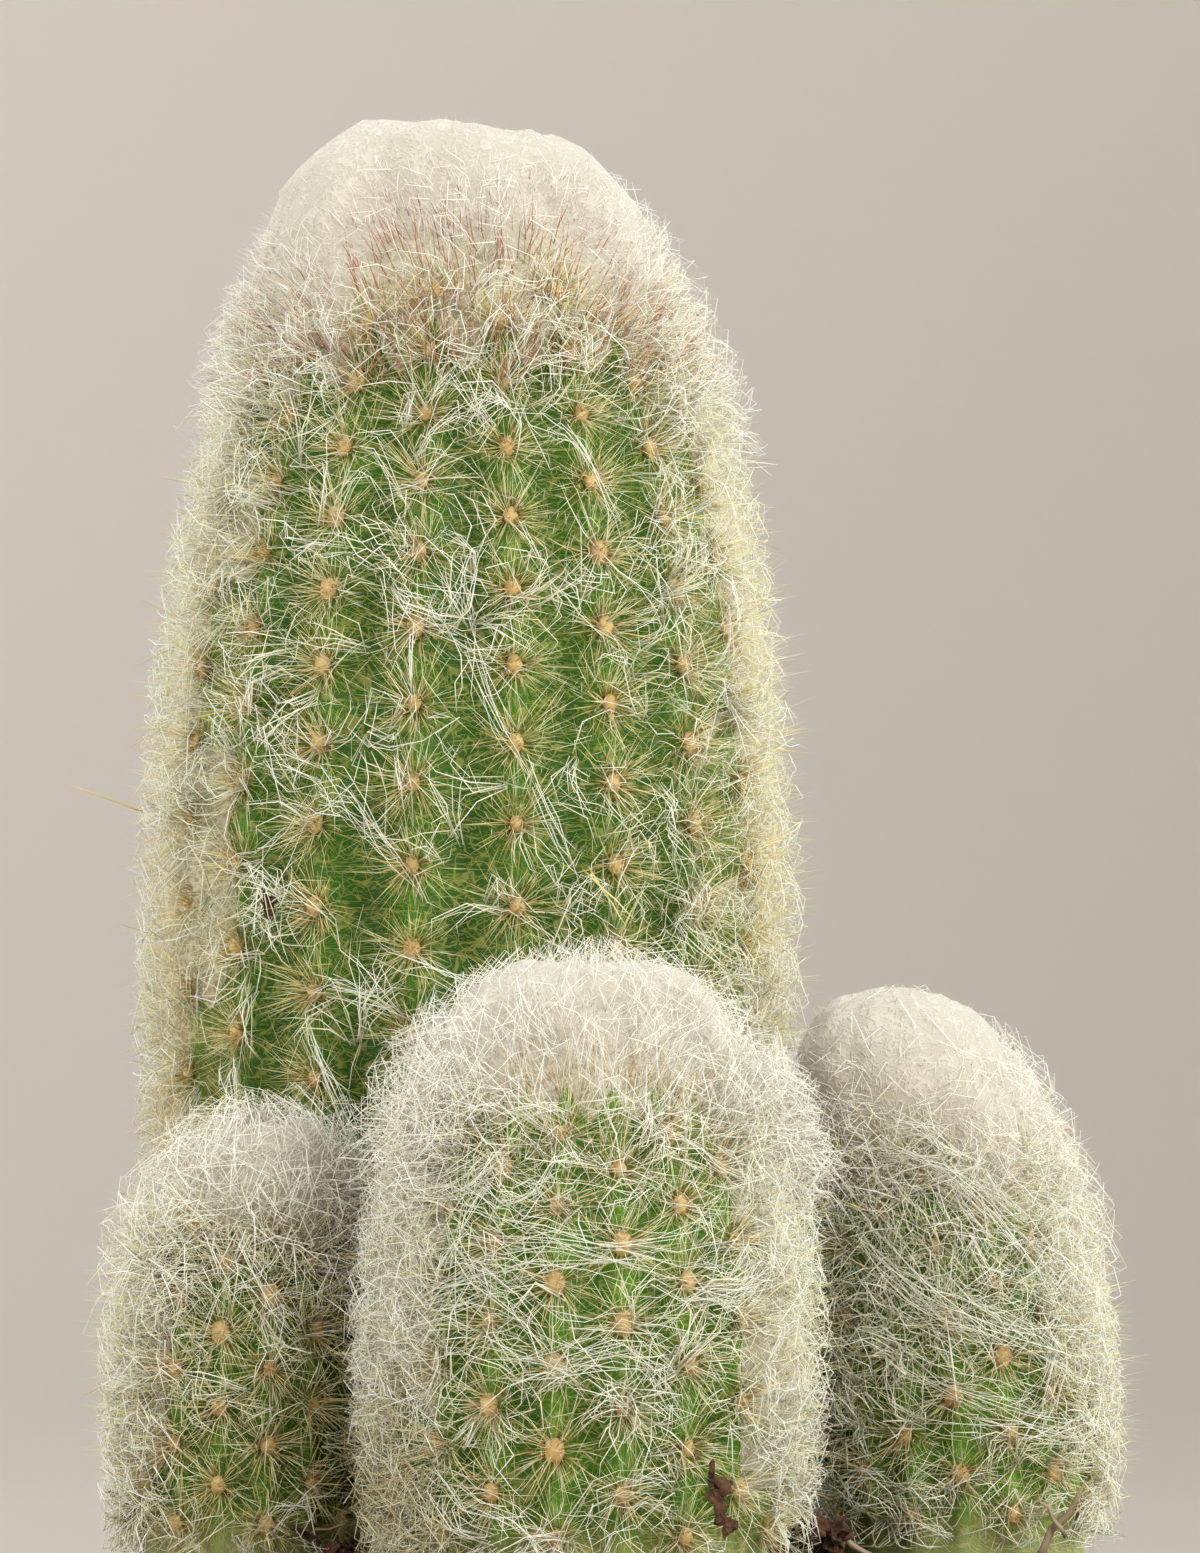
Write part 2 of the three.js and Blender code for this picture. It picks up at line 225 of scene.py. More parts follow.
stemRules = {
    "main": {"ribs": 18, "shoulder": 42, "pitch": (6.8, 4.0), "lean": (0, 0), "woolLean": (-0.8, 0),
             "woolRadius": 23.5, "bareTop": 86, "seed": 11},
    "front": {"ribs": 18, "shoulder": 15, "pitch": (6.0, 4.0), "lean": (0, 0), "woolLean": (0, 0),
              "woolRadius": 15.8, "bareTop": 31, "seed": 23},
    "left": {"ribs": 14, "shoulder": 14, "pitch": (5.6, 3.8), "lean": (0.6, 1), "woolLean": (1.8, 1),
             "woolRadius": 9.5, "bareTop": 22.5, "seed": 37},
    "right": {"ribs": 16, "shoulder": 15, "pitch": (5.8, 4.0), "lean": (-4, 0), "woolLean": (-4.6, 0),
              "woolRadius": 11.8, "bareTop": 29, "seed": 41},
}


class Stem:
    def __init__(self, name, rule):
        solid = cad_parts[name + "_stem"].data
        points = np.array([vert.co for vert in solid.vertices], dtype=np.float64)
        low = points[:, 2].min()
        ring = points[points[:, 2] < low + 1e-5]
        self.name = name
        self.ribs = rule["ribs"]
        self.foot = (ring.min(0) + ring.max(0))[:2] / 2
        self.radius = np.ptp(ring[:, 0]) / 2 / growth["rootShare"] / growth["footShare"]
        self.soil = low + growth["rootDepth"]
        self.height = points[:, 2].max() - self.soil
        self.shoulder = rule["shoulder"] * mm
        self.pitch = [p * mm for p in rule["pitch"]]
        self.lean = np.array(rule["lean"]) * mm
        self.woolLean = np.array(rule["woolLean"]) * mm
        self.bareTop = rule["bareTop"] * mm
        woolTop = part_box(name + "_wool")[1].z - self.soil
        self.rng = np.random.default_rng(rule["seed"])
        self.line = self.outline(self.radius, self.height)
        self.woolLine = self.outline(rule["woolRadius"] * mm, woolTop)
        self.length = self.line["along"][-1]

    # Heights, radii and lengths travelled up an outline, from the soil to the tip.
    def outline(self, radius, height):
        u = np.linspace(0, 1, 801)
        turn = math.pi / 2 * np.clip(2 * u - 1, 0, 1)
        straight = self.shoulder * np.clip(2 * u, 0, 1)
        h = straight + (height - self.shoulder) * np.sin(turn) ** (2 / growth["crownRise"])
        waist = 1 - (1 - growth["footShare"]) * (1 - straight / self.shoulder) ** 2
        r = radius * waist * np.clip(np.cos(turn), 0, 1) ** (2 / growth["crownRound"])
        r[-1] = 0
        along = np.concatenate([[0], np.cumsum(np.hypot(np.diff(h), np.diff(r)))])
        return {"h": h, "r": r, "along": along}

    def alongAt(self, h):
        return np.interp(h, self.line["h"], self.line["along"])

    def heightAt(self, along):
        return np.interp(along, self.line["along"], self.line["h"])

    def radiusAt(self, along):
        return np.interp(along, self.line["along"], self.line["r"])

    def axisAt(self, h, lean):
        share = np.clip(h / self.height, 0, None) ** growth["leanBend"]
        return self.foot[0] + lean[0] * share, self.foot[1] + lean[1] * share

    # Place, outward normal, sideways and upward directions.
    def surface(self, angle, along, lift):
        h, r = self.heightAt(along), self.radiusAt(along)
        step = 0.5 * mm
        dh = self.heightAt(along + step) - self.heightAt(along - step)
        dr = self.radiusAt(along + step) - self.radiusAt(along - step)
        size = np.hypot(dh, dr) + 1e-12
        outR, outZ = dh / size, -dr / size
        x, y = self.axisAt(h, self.lean)
        cos, sin = np.cos(angle), np.sin(angle)
        wide = r + lift * outR
        place = np.stack([x + wide * cos, y + wide * sin, self.soil + h + lift * outZ], -1)
        out = np.stack([outR * cos, outR * sin, outZ], -1)
        right = np.stack([-sin, cos, np.zeros_like(sin)], -1)
        return place, out, right, np.cross(out, right)

    # Places over the skin, kept clear of the soil.
    def over(self, angle, along, lift):
        place = self.surface(angle, along, lift)[0]
        place[:, :, 2] = np.maximum(place[:, :, 2], self.soil + hair["clear"])
        return place

    # Rows of areoles by length from the soil, closer towards the tip.
    def rowLengths(self):
        meanPitch = sum(self.pitch) / 2
        closing = (self.pitch[0] - self.pitch[1]) / (2 * meanPitch)
        part = np.linspace(0, 1, round(2 * self.length / meanPitch) + 1)
        return self.length * ((1 + closing) * part - closing * part * part)

    def rowAt(self, h):
        rows = self.rowLengths()
        return float(np.interp(self.alongAt(h), rows, np.arange(len(rows))))

    # Areoles sit on the crests, half a pitch apart from rib to rib.
    def areoles(self):
        rows = []
        for index, along in enumerate(self.rowLengths()):
            if growth["lowestAreole"] < self.heightAt(along) < self.bareTop:
                rows += [(2 * math.pi * rib / self.ribs, along) for rib in range(index % 2, self.ribs, 2)]
        return np.array(rows)

    # Random places over the skin from a height up to the tip, evenly by area.
    def scatter(self, count, low, high=None):
        start = self.alongAt(low)
        end = self.length if high is None else self.alongAt(high)
        along = self.rng.uniform(start, end, 12 * count)
        widest = self.line["r"][self.line["along"] >= start].max()
        keep = self.rng.random(len(along)) * widest < self.radiusAt(along)
        along = along[keep][:count]
        return np.stack([self.rng.uniform(0, 2 * math.pi, len(along)), along], 1)


stems = {name: Stem(name, rule) for name, rule in stemRules.items()}


def ease(low, high, value):
    t = min(max((value - low) / (high - low), 0), 1)
    return t * t * (3 - 2 * t)


def degreesApart(angle, turn):
    return abs((math.degrees(angle) - turn + 180) % 360 - 180)


skin = {
    "stepsPerRib": 8,
    "rowStep": 1.0 * mm,
    "valley": 1.3,          # how narrow the crests are
    "swell": 0.35 * mm,     # low bump under each areole, and its reach
    "swellReach": 1.5 * mm,
    "deep": "#123403",
    "mid": "#306506",
    "pale": "#559012",
    # lightness of a crest at the tip, and how much less in a valley and at the foot: painted shade in the rib
    # valleys and towards the soil
    "light": (0.52, 0.3, 0.18),
    # painted light: the short stems' skin is lighter, to make up for the shade they stand in
    "paintedLight": {"main": 0.05, "front": 0.24, "left": 0.14, "right": 0.42},
    "hair": "#b8b260",
    "hairCover": 0.44,
    "hairsRound": 27,       # fine hairs round an areole, in waves of the noise
    "hazeColour": "#b2ad88",
    "haze": {"main": 0.7, "front": 0.4, "left": 0.2, "right": 0.35},
    "hazeFrom": (52, 100),  # degrees from the front
    "hazeFoot": 0.35,       # share of the height over which it starts
    "corky": (0.5, 4.5),    # mm over the soil
    "cork": 0.5,
}


# Fine hairs that spread over the skin from each areole. The map counts ribs across and rows of areoles up,
# with an areole wherever their sum is even, so half a turn of the map puts one in each square.
def spreadingHairs(tree, shift, finer=1.0):
    quarter = math.pi / 4
    counted = addNode(tree, "UVMap", uv_map="cells")
    turned = addNode(tree, "Mapping", {"Vector": counted, "Scale": (0.7071, 0.7071, 1),
                                       "Location": (shift, shift, 0), "Rotation": (0, 0, -quarter)})
    shifted = addNode(tree, "VectorMath", [turned, (0.5, 0.5, 0)], operation="ADD")
    wrapped = addNode(tree, "VectorMath", [shifted], operation="FRACTION")
    local = addNode(tree, "VectorMath", [wrapped, (0.5, 0.5, 0)], operation="SUBTRACT")
    owner = addNode(tree, "VectorMath", [turned, local], operation="SUBTRACT")
    back = addNode(tree, "Mapping", {"Vector": local, "Rotation": (0, 0, quarter)})
    spread = addNode(tree, "VectorMath", [back, (1.0, 0.6, 0)], operation="MULTIPLY")
    reach = addNode(tree, "VectorMath", [spread], "Value", operation="LENGTH")
    place = addNode(tree, "TexCoord", out="Object")
    bend = addNode(tree, "TexNoise", {"Vector": place, "Scale": 450.0, "Detail": 1.0}, "Color")
    way = addNode(tree, "VectorMath", [spread], operation="NORMALIZE")
    bent = addNode(tree, "VectorMath", [bend, (0.2, 0.2, 0.2), way], operation="MULTIPLY_ADD")
    far = addNode(tree, "VectorMath", {0: bent, "Scale": skin["hairsRound"] * finer}, operation="SCALE")
    drawn = addNode(tree, "VectorMath", [owner, (37.7, 37.7, 37.7), far], operation="MULTIPLY_ADD")
    streaks = addNode(tree, "TexNoise", {"Vector": drawn, "W": reach, "Scale": 1.0, "Detail": 1.0},
                      noise_dimensions="4D")
    return addNode(tree, "MapRange", [streaks, 0.56, 0.66])


# Curly threads: the lines along which a noise has its middle value.
def curlyThreads(tree, sizeMm, offset, width=0.022):
    place = addNode(tree, "TexCoord", out="Object")
    moved = addNode(tree, "Mapping", {"Vector": place, "Location": (offset, offset, offset)})
    field = addNode(tree, "TexNoise", {"Vector": moved, "Scale": 1000 / sizeMm, "Detail": 1.0,
                                       "Distortion": 0.6})
    fromMiddle = addNode(tree, "Math", [field, 0.5], operation="SUBTRACT")
    apart = addNode(tree, "Math", [fromMiddle], operation="ABSOLUTE")
    return addNode(tree, "MapRange", [apart, width, 0.3 * width])


def skinMaterial():
    # living cactus skin: a waxy cuticle over green flesh, satin, faintly mottled, under hairs finer than the
    # modelled ones, which are drawn on it
    material, tree = newMaterial("waxy cactus skin")
    mottled = objectNoise(tree, 3.5, 4, 0.6)
    # the crest attribute carries painted shade, darker in the rib valleys and towards the foot
    crest = addNode(tree, "Attribute", out="Fac", attribute_name="crest")
    lightness = addNode(tree, "Math", [mottled, 0.55, crest], operation="MULTIPLY_ADD")
    greens = [(0.2, skin["deep"]), (0.7, skin["mid"]), (1.0, skin["pale"])]
    green = addNode(tree, "ValToRGB", [lightness], stops=greens)
    threads = addNode(tree, "Math", [curlyThreads(tree, 1.9, 0.31), curlyThreads(tree, 1.3, 0.77)],
                      operation="MAXIMUM")
    hairs = addNode(tree, "Math", [spreadingHairs(tree, 0.0), spreadingHairs(tree, 0.5, 1.2)],
                    operation="MAXIMUM")
    drawn = addNode(tree, "Math", [hairs, threads], operation="MAXIMUM")
    haze = addNode(tree, "Attribute", out="Fac", attribute_name="haze")
    cover = addNode(tree, "Math", [drawn, skin["hairCover"]], operation="MULTIPLY")
    patchy = addNode(tree, "Math", [haze, objectNoise(tree, 5, 3, 0.6), cover], operation="MULTIPLY_ADD")
    thick = addNode(tree, "Math", [haze, 0.5, patchy], operation="MULTIPLY_ADD")
    hairColour = addNode(tree, "Mix", {0: haze, 6: skin["hair"], 7: skin["hazeColour"]}, 2, data_type="RGBA")
    shown = addNode(tree, "Mix", {0: thick, 6: green, 7: hairColour}, 2, data_type="RGBA")
    finishSurface(tree, shown, 0.6, 0.25,
                  {"Normal": addNode(tree, "Bump", {"Strength": 0.5, "Distance": 0.1 * mm, "Height": drawn})})
    return material


# Counts ribs and rows of areoles at each corner of a face, across the seam too.
def mapCells(stem, face, layer):
    turns = [math.atan2(vert.co.y, vert.co.x) for vert in face.verts]
    turns = [turn - 2 * math.pi if turn > math.pi / 2 + 1e-4 else turn for turn in turns]
    for loop, turn in zip(face.loops, turns):
        turn += 2 * math.pi if max(turns) - turn > math.pi else 0
        loop[layer].uv = (stem.ribs * turn / (2 * math.pi), stem.rowAt(loop.vert.co.z))


def addFlesh(stem, material):
    r, depth = stem.line["r"][0], growth["rootDepth"]
    profile = [(0.0, -depth), (growth["rootShare"] * r, -depth), (growth["neckShare"] * r, -0.5 * depth)]
    profile += [(float(stem.radiusAt(s)), float(stem.heightAt(s)))
                for s in np.linspace(0, stem.length, round(stem.length / skin["rowStep"]))]
    bm = spinProfile(profile, skin["stepsPerRib"] * stem.ribs)
    crestLayer = bm.verts.layers.float.new("crest")
    hazeLayer = bm.verts.layers.float.new("haze")
    cells = bm.loops.layers.uv.new("cells")
    areoles = stem.areoles()
    spots = stem.surface(areoles[:, 0], areoles[:, 1], 0)[0]
    for face in bm.faces:
        mapCells(stem, face, cells)
    crest, inValley, atFoot = skin["light"]
    for vert in bm.verts:
        angle, r, h = math.atan2(vert.co.y, vert.co.x), math.hypot(vert.co.x, vert.co.y), vert.co.z
        dip = abs(math.sin(stem.ribs * angle / 2)) ** skin["valley"]
        x, y = stem.axisAt(h, stem.lean)
        wide = r - (growth["ribShare"] * r if h > 0 else 0) * dip
        vert.co = (x + wide * math.cos(angle), y + wide * math.sin(angle), stem.soil + h)
        part = h / stem.height
        # painted shade: the skin is darker in the rib valleys and towards the foot
        shade = inValley * dip
        # painted light: the short stems' skin is made lighter
        vert[crestLayer] = crest + skin["paintedLight"][stem.name] - shade - atFoot * (1 - min(max(part, 0), 1))
        sides = ease(*skin["hazeFrom"], degreesApart(angle, -90)) * ease(0, skin["hazeFoot"], part)
        cork = skin["cork"] * (1 - ease(*skin["corky"], h / mm))
        vert[hazeLayer] = max(skin["haze"][stem.name] * sides, cork)
        near = np.min(np.sum((spots - np.array(vert.co)) ** 2, 1)) ** 0.5
        bump = skin["swell"] * math.exp(-(near / skin["swellReach"]) ** 2)
        vert.co += Vector((math.cos(angle), math.sin(angle), 0)) * (bump if h > 0 else 0)
    piece = link(stem.name + "_flesh", bm, material)
    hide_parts(stem.name + "_stem")
    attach(piece, "root")
    print(piece.name, len(piece.data.polygons), "faces")


skinFinish = skinMaterial()
for stem in stems.values():
    addFlesh(stem, skinFinish)


# hairs and spines: a three-sided section swept along each one, and drawn to a point

hair = {
    "taper": 2.5,
    "uneven": (0.75, 1.25),     # thickness from hair to hair
    "worn": (0.6, 8 * mm),      # length at the soil, and the height of full length
    "clear": 0.3 * mm,          # kept over the soil
    "inset": 0.8 * mm,          # kept from the end of the skin
    "middle": 1.5 * mm,         # a hair's usual height over the skin
    "kink": 0.35,               # change of curl from step to step, and share of its own curl in a lock
    "own": 0.55,
    "low": 0.5 * mm,            # the lowest root
    "jitter": 0.4,              # of a bristle's place round its pad, in steps from one to the next
    "fuller": 0.7,              # how soon standing hair grows longer towards the tip
    "tuftSpread": 0.5,          # how far tufts stray, as a share of what single hairs do
    "arch": (0.02, 0.83),       # where a hair starts on an arch, and how much of it the hair follows
}


def sectionCurve():
    curve = bpy.data.curves.new("section", "CURVE")
    curve.dimensions = "3D"
    spline = curve.splines.new("POLY")
    spline.points.add(2)
    for k, point in enumerate(spline.points):
        angle = -2 * math.pi * k / 3
        point.co = (math.cos(angle), math.sin(angle), 0, 1)
    spline.use_cyclic_u = True
    holder = bpy.data.objects.new("section", curve)
    scene.collection.objects.link(holder)
    return holder


section = sectionCurve()


# paths is (strands, points, 3), radii (strands, points), tints one number for each strand.
def sweepStrands(paths, radii, tints):
    count, points, _ = paths.shape
    curve = bpy.data.curves.new("strands", "CURVE")
    curve.dimensions = "3D"
    curve.bevel_mode = "OBJECT"
    curve.bevel_object = section
    curve.use_fill_caps = True
    padded = np.ones((count, points, 4), dtype=np.float32)
    padded[:, :, :3] = paths
    for path, radius in zip(padded, radii.astype(np.float32)):
        spline = curve.splines.new("POLY")
        spline.points.add(points - 1)
        spline.points.foreach_set("co", path.ravel())
        spline.points.foreach_set("radius", radius)
    holder = bpy.data.objects.new("strands", curve)
    scene.collection.objects.link(holder)
    mesh = bpy.data.meshes.new_from_object(holder.evaluated_get(bpy.context.evaluated_depsgraph_get()))
    bpy.data.objects.remove(holder)
    bpy.data.curves.remove(curve)
    # the swept mesh lists every root cap first, last strand first, and then the rings strand by strand
    tint = np.concatenate([np.repeat(tints[::-1], 3), np.repeat(tints, 3 * points)])
    along = np.concatenate([np.zeros(3 * count), np.tile(np.repeat(np.linspace(0, 1, points), 3), count)])
    for name, values in (("tint", tint), ("along", along)):
        layer = mesh.attributes.new(name, "FLOAT", "POINT")
        layer.data.foreach_set("value", values.astype(np.float32))
    return mesh


def addStrands(name, groups, material):
    bm = bmesh.new()
    total = 0
    for paths, radii, tints in groups:
        mesh = sweepStrands(paths, radii, tints)
        bm.from_mesh(mesh)
        bpy.data.meshes.remove(mesh)
        total += len(tints)
    bmesh.ops.remove_doubles(bm, verts=bm.verts, dist=2e-7)
    piece = link(name, bm, material)
    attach(piece, "root")
    print(name, total, "strands", len(piece.data.polygons), "faces")


def strandRadii(rng, count, points, kind):
    t = np.linspace(0, 1, points)[None, :]
    thick = kind["thick"] * mm / 2 * rng.uniform(*hair["uneven"], count)
    return thick[:, None] * (1 - t ** hair["taper"])


def unit(ways):
    return ways / np.linalg.norm(ways, axis=1)[:, None]


# Lengths travelled from the root after each step.
def fromRoot(steps):
    return np.concatenate([np.zeros((len(steps), 1)), np.cumsum(steps, 1)], 1)


# Hair is worn short close to the soil.
def wornAt(along):
    low, reach = hair["worn"]
    return np.clip(low + (1 - low) * along / reach, low, 1)


# Straight bristles and spines from every areole, round its pad and out from the skin.
def radiate(stem, areoles, kind):
    rng, each = stem.rng, kind["count"]
    rows = np.repeat(areoles, each, 0)
    count = len(rows)
    place, out, right, up = stem.surface(rows[:, 0], rows[:, 1], 0)
    jitter = rng.uniform(-hair["jitter"], hair["jitter"], count)
    turn = 2 * math.pi * (np.tile(np.arange(each), len(areoles)) + jitter) / each
    turn += np.repeat(rng.uniform(0, 2 * math.pi, len(areoles)), each)
    tilt = np.radians(rng.uniform(*kind["tilt"], count))
    length = rng.uniform(*kind["length"], count) * mm * wornAt(rows[:, 1])
    aside = right * np.cos(turn)[:, None] + up * np.sin(turn)[:, None]
    way = aside * np.cos(tilt)[:, None] + out * np.sin(tilt)[:, None]
    way = unit(way + kind["stray"] * rng.normal(0, 1, way.shape))
    start = place + aside * (rng.uniform(0, kind["pad"], count) * mm)[:, None]
    paths = start[:, None, :] + way[:, None, :] * length[:, None, None] * np.array([0, 1.0])[None, :, None]
    # painted light: the short stems' hairs are drawn paler
    tint = rng.uniform(*kind["tint"], count) - coat["paintedPaler"][stem.name]
    tint += kind["age"] * (1 - rows[:, 1] / stem.length)
    return paths, strandRadii(rng, count, 2, kind), np.clip(tint, 0, 1)


# Curly hairs that wander over the skin within the depth of the wool, one from the root at each pick. Some of
# those of one root run together in locks.
def wander(stem, roots, pick, kind):
    rng, locks, points, bent = stem.rng, kind["locks"], kind["points"], kind["curl"]
    count = len(pick)
    radius = stem.radiusAt(roots[pick, 1]) + hair["middle"]
    apart = rng.normal(0, kind["apart"] * mm, (count, 2))
    rows = roots[pick] + np.stack([apart[:, 0] / radius, apart[:, 1]], 1)
    chosen = rng.integers(0, locks, count)
    lockHeading = rng.uniform(0, 2 * math.pi, (len(roots), locks))
    lockCurl = np.repeat(rng.normal(0, bent, (len(roots), locks, 1)), points - 1, 2)
    tied = rng.random(count) < kind["tied"]
    heading = np.where(tied, lockHeading[pick, chosen] + rng.normal(0, kind["spread"], count),
                       rng.uniform(0, 2 * math.pi, count))
    arc = rng.normal(0, bent, (count, 1)) + hair["kink"] * bent * rng.normal(0, 1, (count, points - 1))
    curl = np.where(tied[:, None], lockCurl[pick, chosen] + hair["own"] * arc, arc)
    heading = heading[:, None] + fromRoot(curl[:, :-1])
    step = (rng.uniform(*kind["length"], count) * mm / (points - 1))[:, None]
    aside, rise = fromRoot(step * np.cos(heading)), fromRoot(step * np.sin(heading))
    first, reach = hair["arch"]
    arch = np.sin(math.pi * (first + reach * np.linspace(0, 1, points)[None, :]))
    lift = hair["clear"] + rng.uniform(*kind["lift"], count)[:, None] * mm * arch
    along = np.clip(rows[:, 1][:, None] + rise, hair["inset"], 2 * stem.length - hair["inset"])
    over = along > stem.length
    along = np.where(over, 2 * stem.length - along, along)
    angle = rows[:, 0][:, None] + aside / radius[:, None] + np.where(over, math.pi, 0)
    place = stem.over(angle, along, lift)
    tint = rng.uniform(*kind["tint"], count) + kind["age"] * (1 - roots[pick, 1] / stem.length)
    return place, strandRadii(rng, count, points, kind), np.clip(tint, 0, 1)


# Random places on the skin, more of them where the wool is thick.
def woollySpots(stem, count):
    spots = stem.scatter(patches["tries"] * count, hair["low"], stem.bareTop)
    place = stem.surface(spots[:, 0], spots[:, 1], 0)[0]
    thick = np.exp([patches["strength"] * noise.noise(Vector(spot) / patches["size"]) for spot in place])
    turn = np.degrees(spots[:, 0]) % 360
    h = stem.heightAt(spots[:, 1]) / mm
    for bare in partings[stem.name]:
        inside = (turn > bare["turn"][0]) & (turn < bare["turn"][1]) & (h > bare["h"][0]) & (h < bare["h"][1])
        thick[inside] *= patches["parting"]
    return spots[stem.rng.choice(len(spots), count, replace=False, p=thick / thick.sum())]


# A bundle of hairs that hangs over the skin from one place to another, loose and frayed. Each hair covers
# its own stretch of the way.
def drape(stem, starts, ends, kind):
    rng, each, points = stem.rng, kind["count"], kind["points"]
    count = len(starts) * each
    bowed, frayed = kind["bow"], kind["fray"]
    u = np.linspace(0, 1, points)[None, :]
    first, last = np.repeat(starts, each, 0), np.repeat(ends, each, 0)
    middle = rng.uniform(*kind["middle"], (count, 1))
    half = rng.uniform(*kind["half"], (count, 1))
    half = np.minimum(half, kind["furthest"] - np.maximum(middle, 1 - middle))
    t = middle + half * (2 * u - 1)
    sway = np.repeat(rng.uniform(0, 2 * math.pi, len(starts)), each)[:, None]
    bow = np.repeat(rng.normal(0, bowed, len(starts)), each)[:, None]
    bow = (bow + kind["ownBow"] * bowed * rng.normal(0, 1, (count, 1))) * mm * np.sin(math.pi * t)
    bow += kind["sway"] * bowed * mm * np.sin(sway + kind["swayTurn"] * t)
    fray = (kind["together"] + np.abs(2 * t - 1) ** 1.5) * frayed * mm
    slant = rng.normal(0, 1, (count, 1)) + kind["slant"] * rng.normal(0, 1, (count, 1)) * (2 * u - 1)
    rise = fray * slant + kind["wavy"] * frayed * mm * rng.normal(0, 1, (count, points))
    along = first[:, 1][:, None] * (1 - t) + last[:, 1][:, None] * t + rise + bow
    along = np.clip(along, hair["inset"], stem.length - kind["clear"])
    angle = first[:, 0][:, None] * (1 - t) + last[:, 0][:, None] * t
    peak = rng.uniform(*kind["lift"], count)[:, None] * mm
    place = stem.over(angle, along, kind["clear"] + peak * np.clip(np.sin(math.pi * t), 0, 1) ** 0.5)
    return place, strandRadii(rng, count, points, kind), rng.uniform(*kind["tint"], count)


# 1 on the open face of a crown, where the wool is thin and the young spines show, and 0 elsewhere.
def openFace(stem, angle, h):
    face = crownCore[stem.name]["face"]
    inner, outer = crown["faceEdge"]
    aside = ease(inner * face["half"], outer * face["half"], degreesApart(angle, face["turn"]))
    return (1 - aside) * (1 - ease(*face["top"], h / mm))


def openFaces(stem, rows):
    return np.array([openFace(stem, *spot) for spot in zip(rows[:, 0], stem.heightAt(rows[:, 1]))])


# Hairs that stand out from the crown and lean together in tufts.
def standUp(stem, kind):
    rng, low = stem.rng, kind["low"] * mm
    high = kind["high"] * mm if "high" in kind else None
    rows = stem.scatter(kind["count"], low, high)
    rows = rows[rng.random(len(rows)) > (1 - kind["onFace"]) * openFaces(stem, rows)]
    tufts = stem.scatter(kind["tufts"], low, high)
    start = stem.alongAt(low)

    def tipsOf(places, spread):
        base, out, _, _ = stem.surface(places[:, 0], places[:, 1], 0)
        share = np.clip((places[:, 1] - start) / (stem.length - start), 0, 1)
        shallow, deep = kind["depth"]
        depth = (shallow + (deep - shallow) * share ** hair["fuller"]) * mm
        depth *= 1 + kind["bulge"] * np.cos(places[:, 0] - math.pi)
        way = unit(out + rng.normal(0, spread, out.shape) + np.array([0, 0, kind["rise"]]))
        tips = base + way * (depth * rng.uniform(kind["short"], 1.0, len(depth)))[:, None]
        tips[:, :2] += (stem.woolLean - stem.lean) * share[:, None]
        return base, tips

    base, tips = tipsOf(rows, kind["spread"])
    tuftBase, tuftTips = tipsOf(tufts, hair["tuftSpread"] * kind["spread"])
    nearest = np.array([np.argmin(np.sum((tuftBase - point) ** 2, 1)) for point in base])
    tips += (tuftTips[nearest] - tips) * kind["gather"]
    base += (tips - base) * kind["root"]
    paths = np.stack([base, tips], 1)
    paths += rng.normal(0, kind["curl"] * mm, paths.shape)
    return paths, strandRadii(rng, len(base), 2, kind), rng.uniform(*kind["tint"], len(base))


def hairMaterial(name, root, stops, rootEnd=0.25):
    material, tree = newMaterial(name)
    tint, along = [addNode(tree, "Attribute", out="Fac", attribute_name=key) for key in ("tint", "along")]
    colour = addNode(tree, "ValToRGB", [tint], stops=stops)
    share = addNode(tree, "MapRange", [along, 0, rootEnd])
    finishSurface(tree, addNode(tree, "Mix", {0: share, 6: root, 7: colour}, 2, data_type="RGBA"), 0.6, 0.3)
    return material


# dry keratin-like bristles: pale straw, a little glassy, ochre at the root
strawBristle = hairMaterial("dry straw bristle", "#d6b268",
                            [(0.0, "#f1efd0"), (0.45, "#e8e2b0"), (0.8, "#d6c985"), (1.0, "#bda255")], 0.36)
# mature spines: amber with browner tips
amberSpine = hairMaterial("amber spine", "#e2cb8c",
                          [(0.0, "#e6cc88"), (0.6, "#d2ae66"), (1.0, "#ac7e48")], 0.8)
# young spines of the crown: straw that turns red-brown at the tip
russetSpine = hairMaterial("russet spine", "#e2cba8",
                           [(0.0, "#bd7558"), (0.6, "#9c523a"), (1.0, "#763422")], 0.55)
# areole felt: short matted ochre hairs
ochreFelt = hairMaterial("ochre felt", "#cfaf74", [(0.0, "#eadbc0"), (0.5, "#e0ca94"), (1.0, "#cda65a")], 0.6)
# silky wool: white, with a few creamy hairs
crownWool = hairMaterial("matted crown wool", "#ece3d0",
                         [(0.0, "#f8f3e9"), (0.5, "#f0ead8"), (0.8, "#e3dab6"), (1.0, "#b5a576")])
whiteWool = hairMaterial("silky white wool", "#ecead8",
                         [(0.0, "#f5f4ec"), (0.5, "#f0efda"), (0.8, "#ddd8ae"), (1.0, "#ab9b6c")])

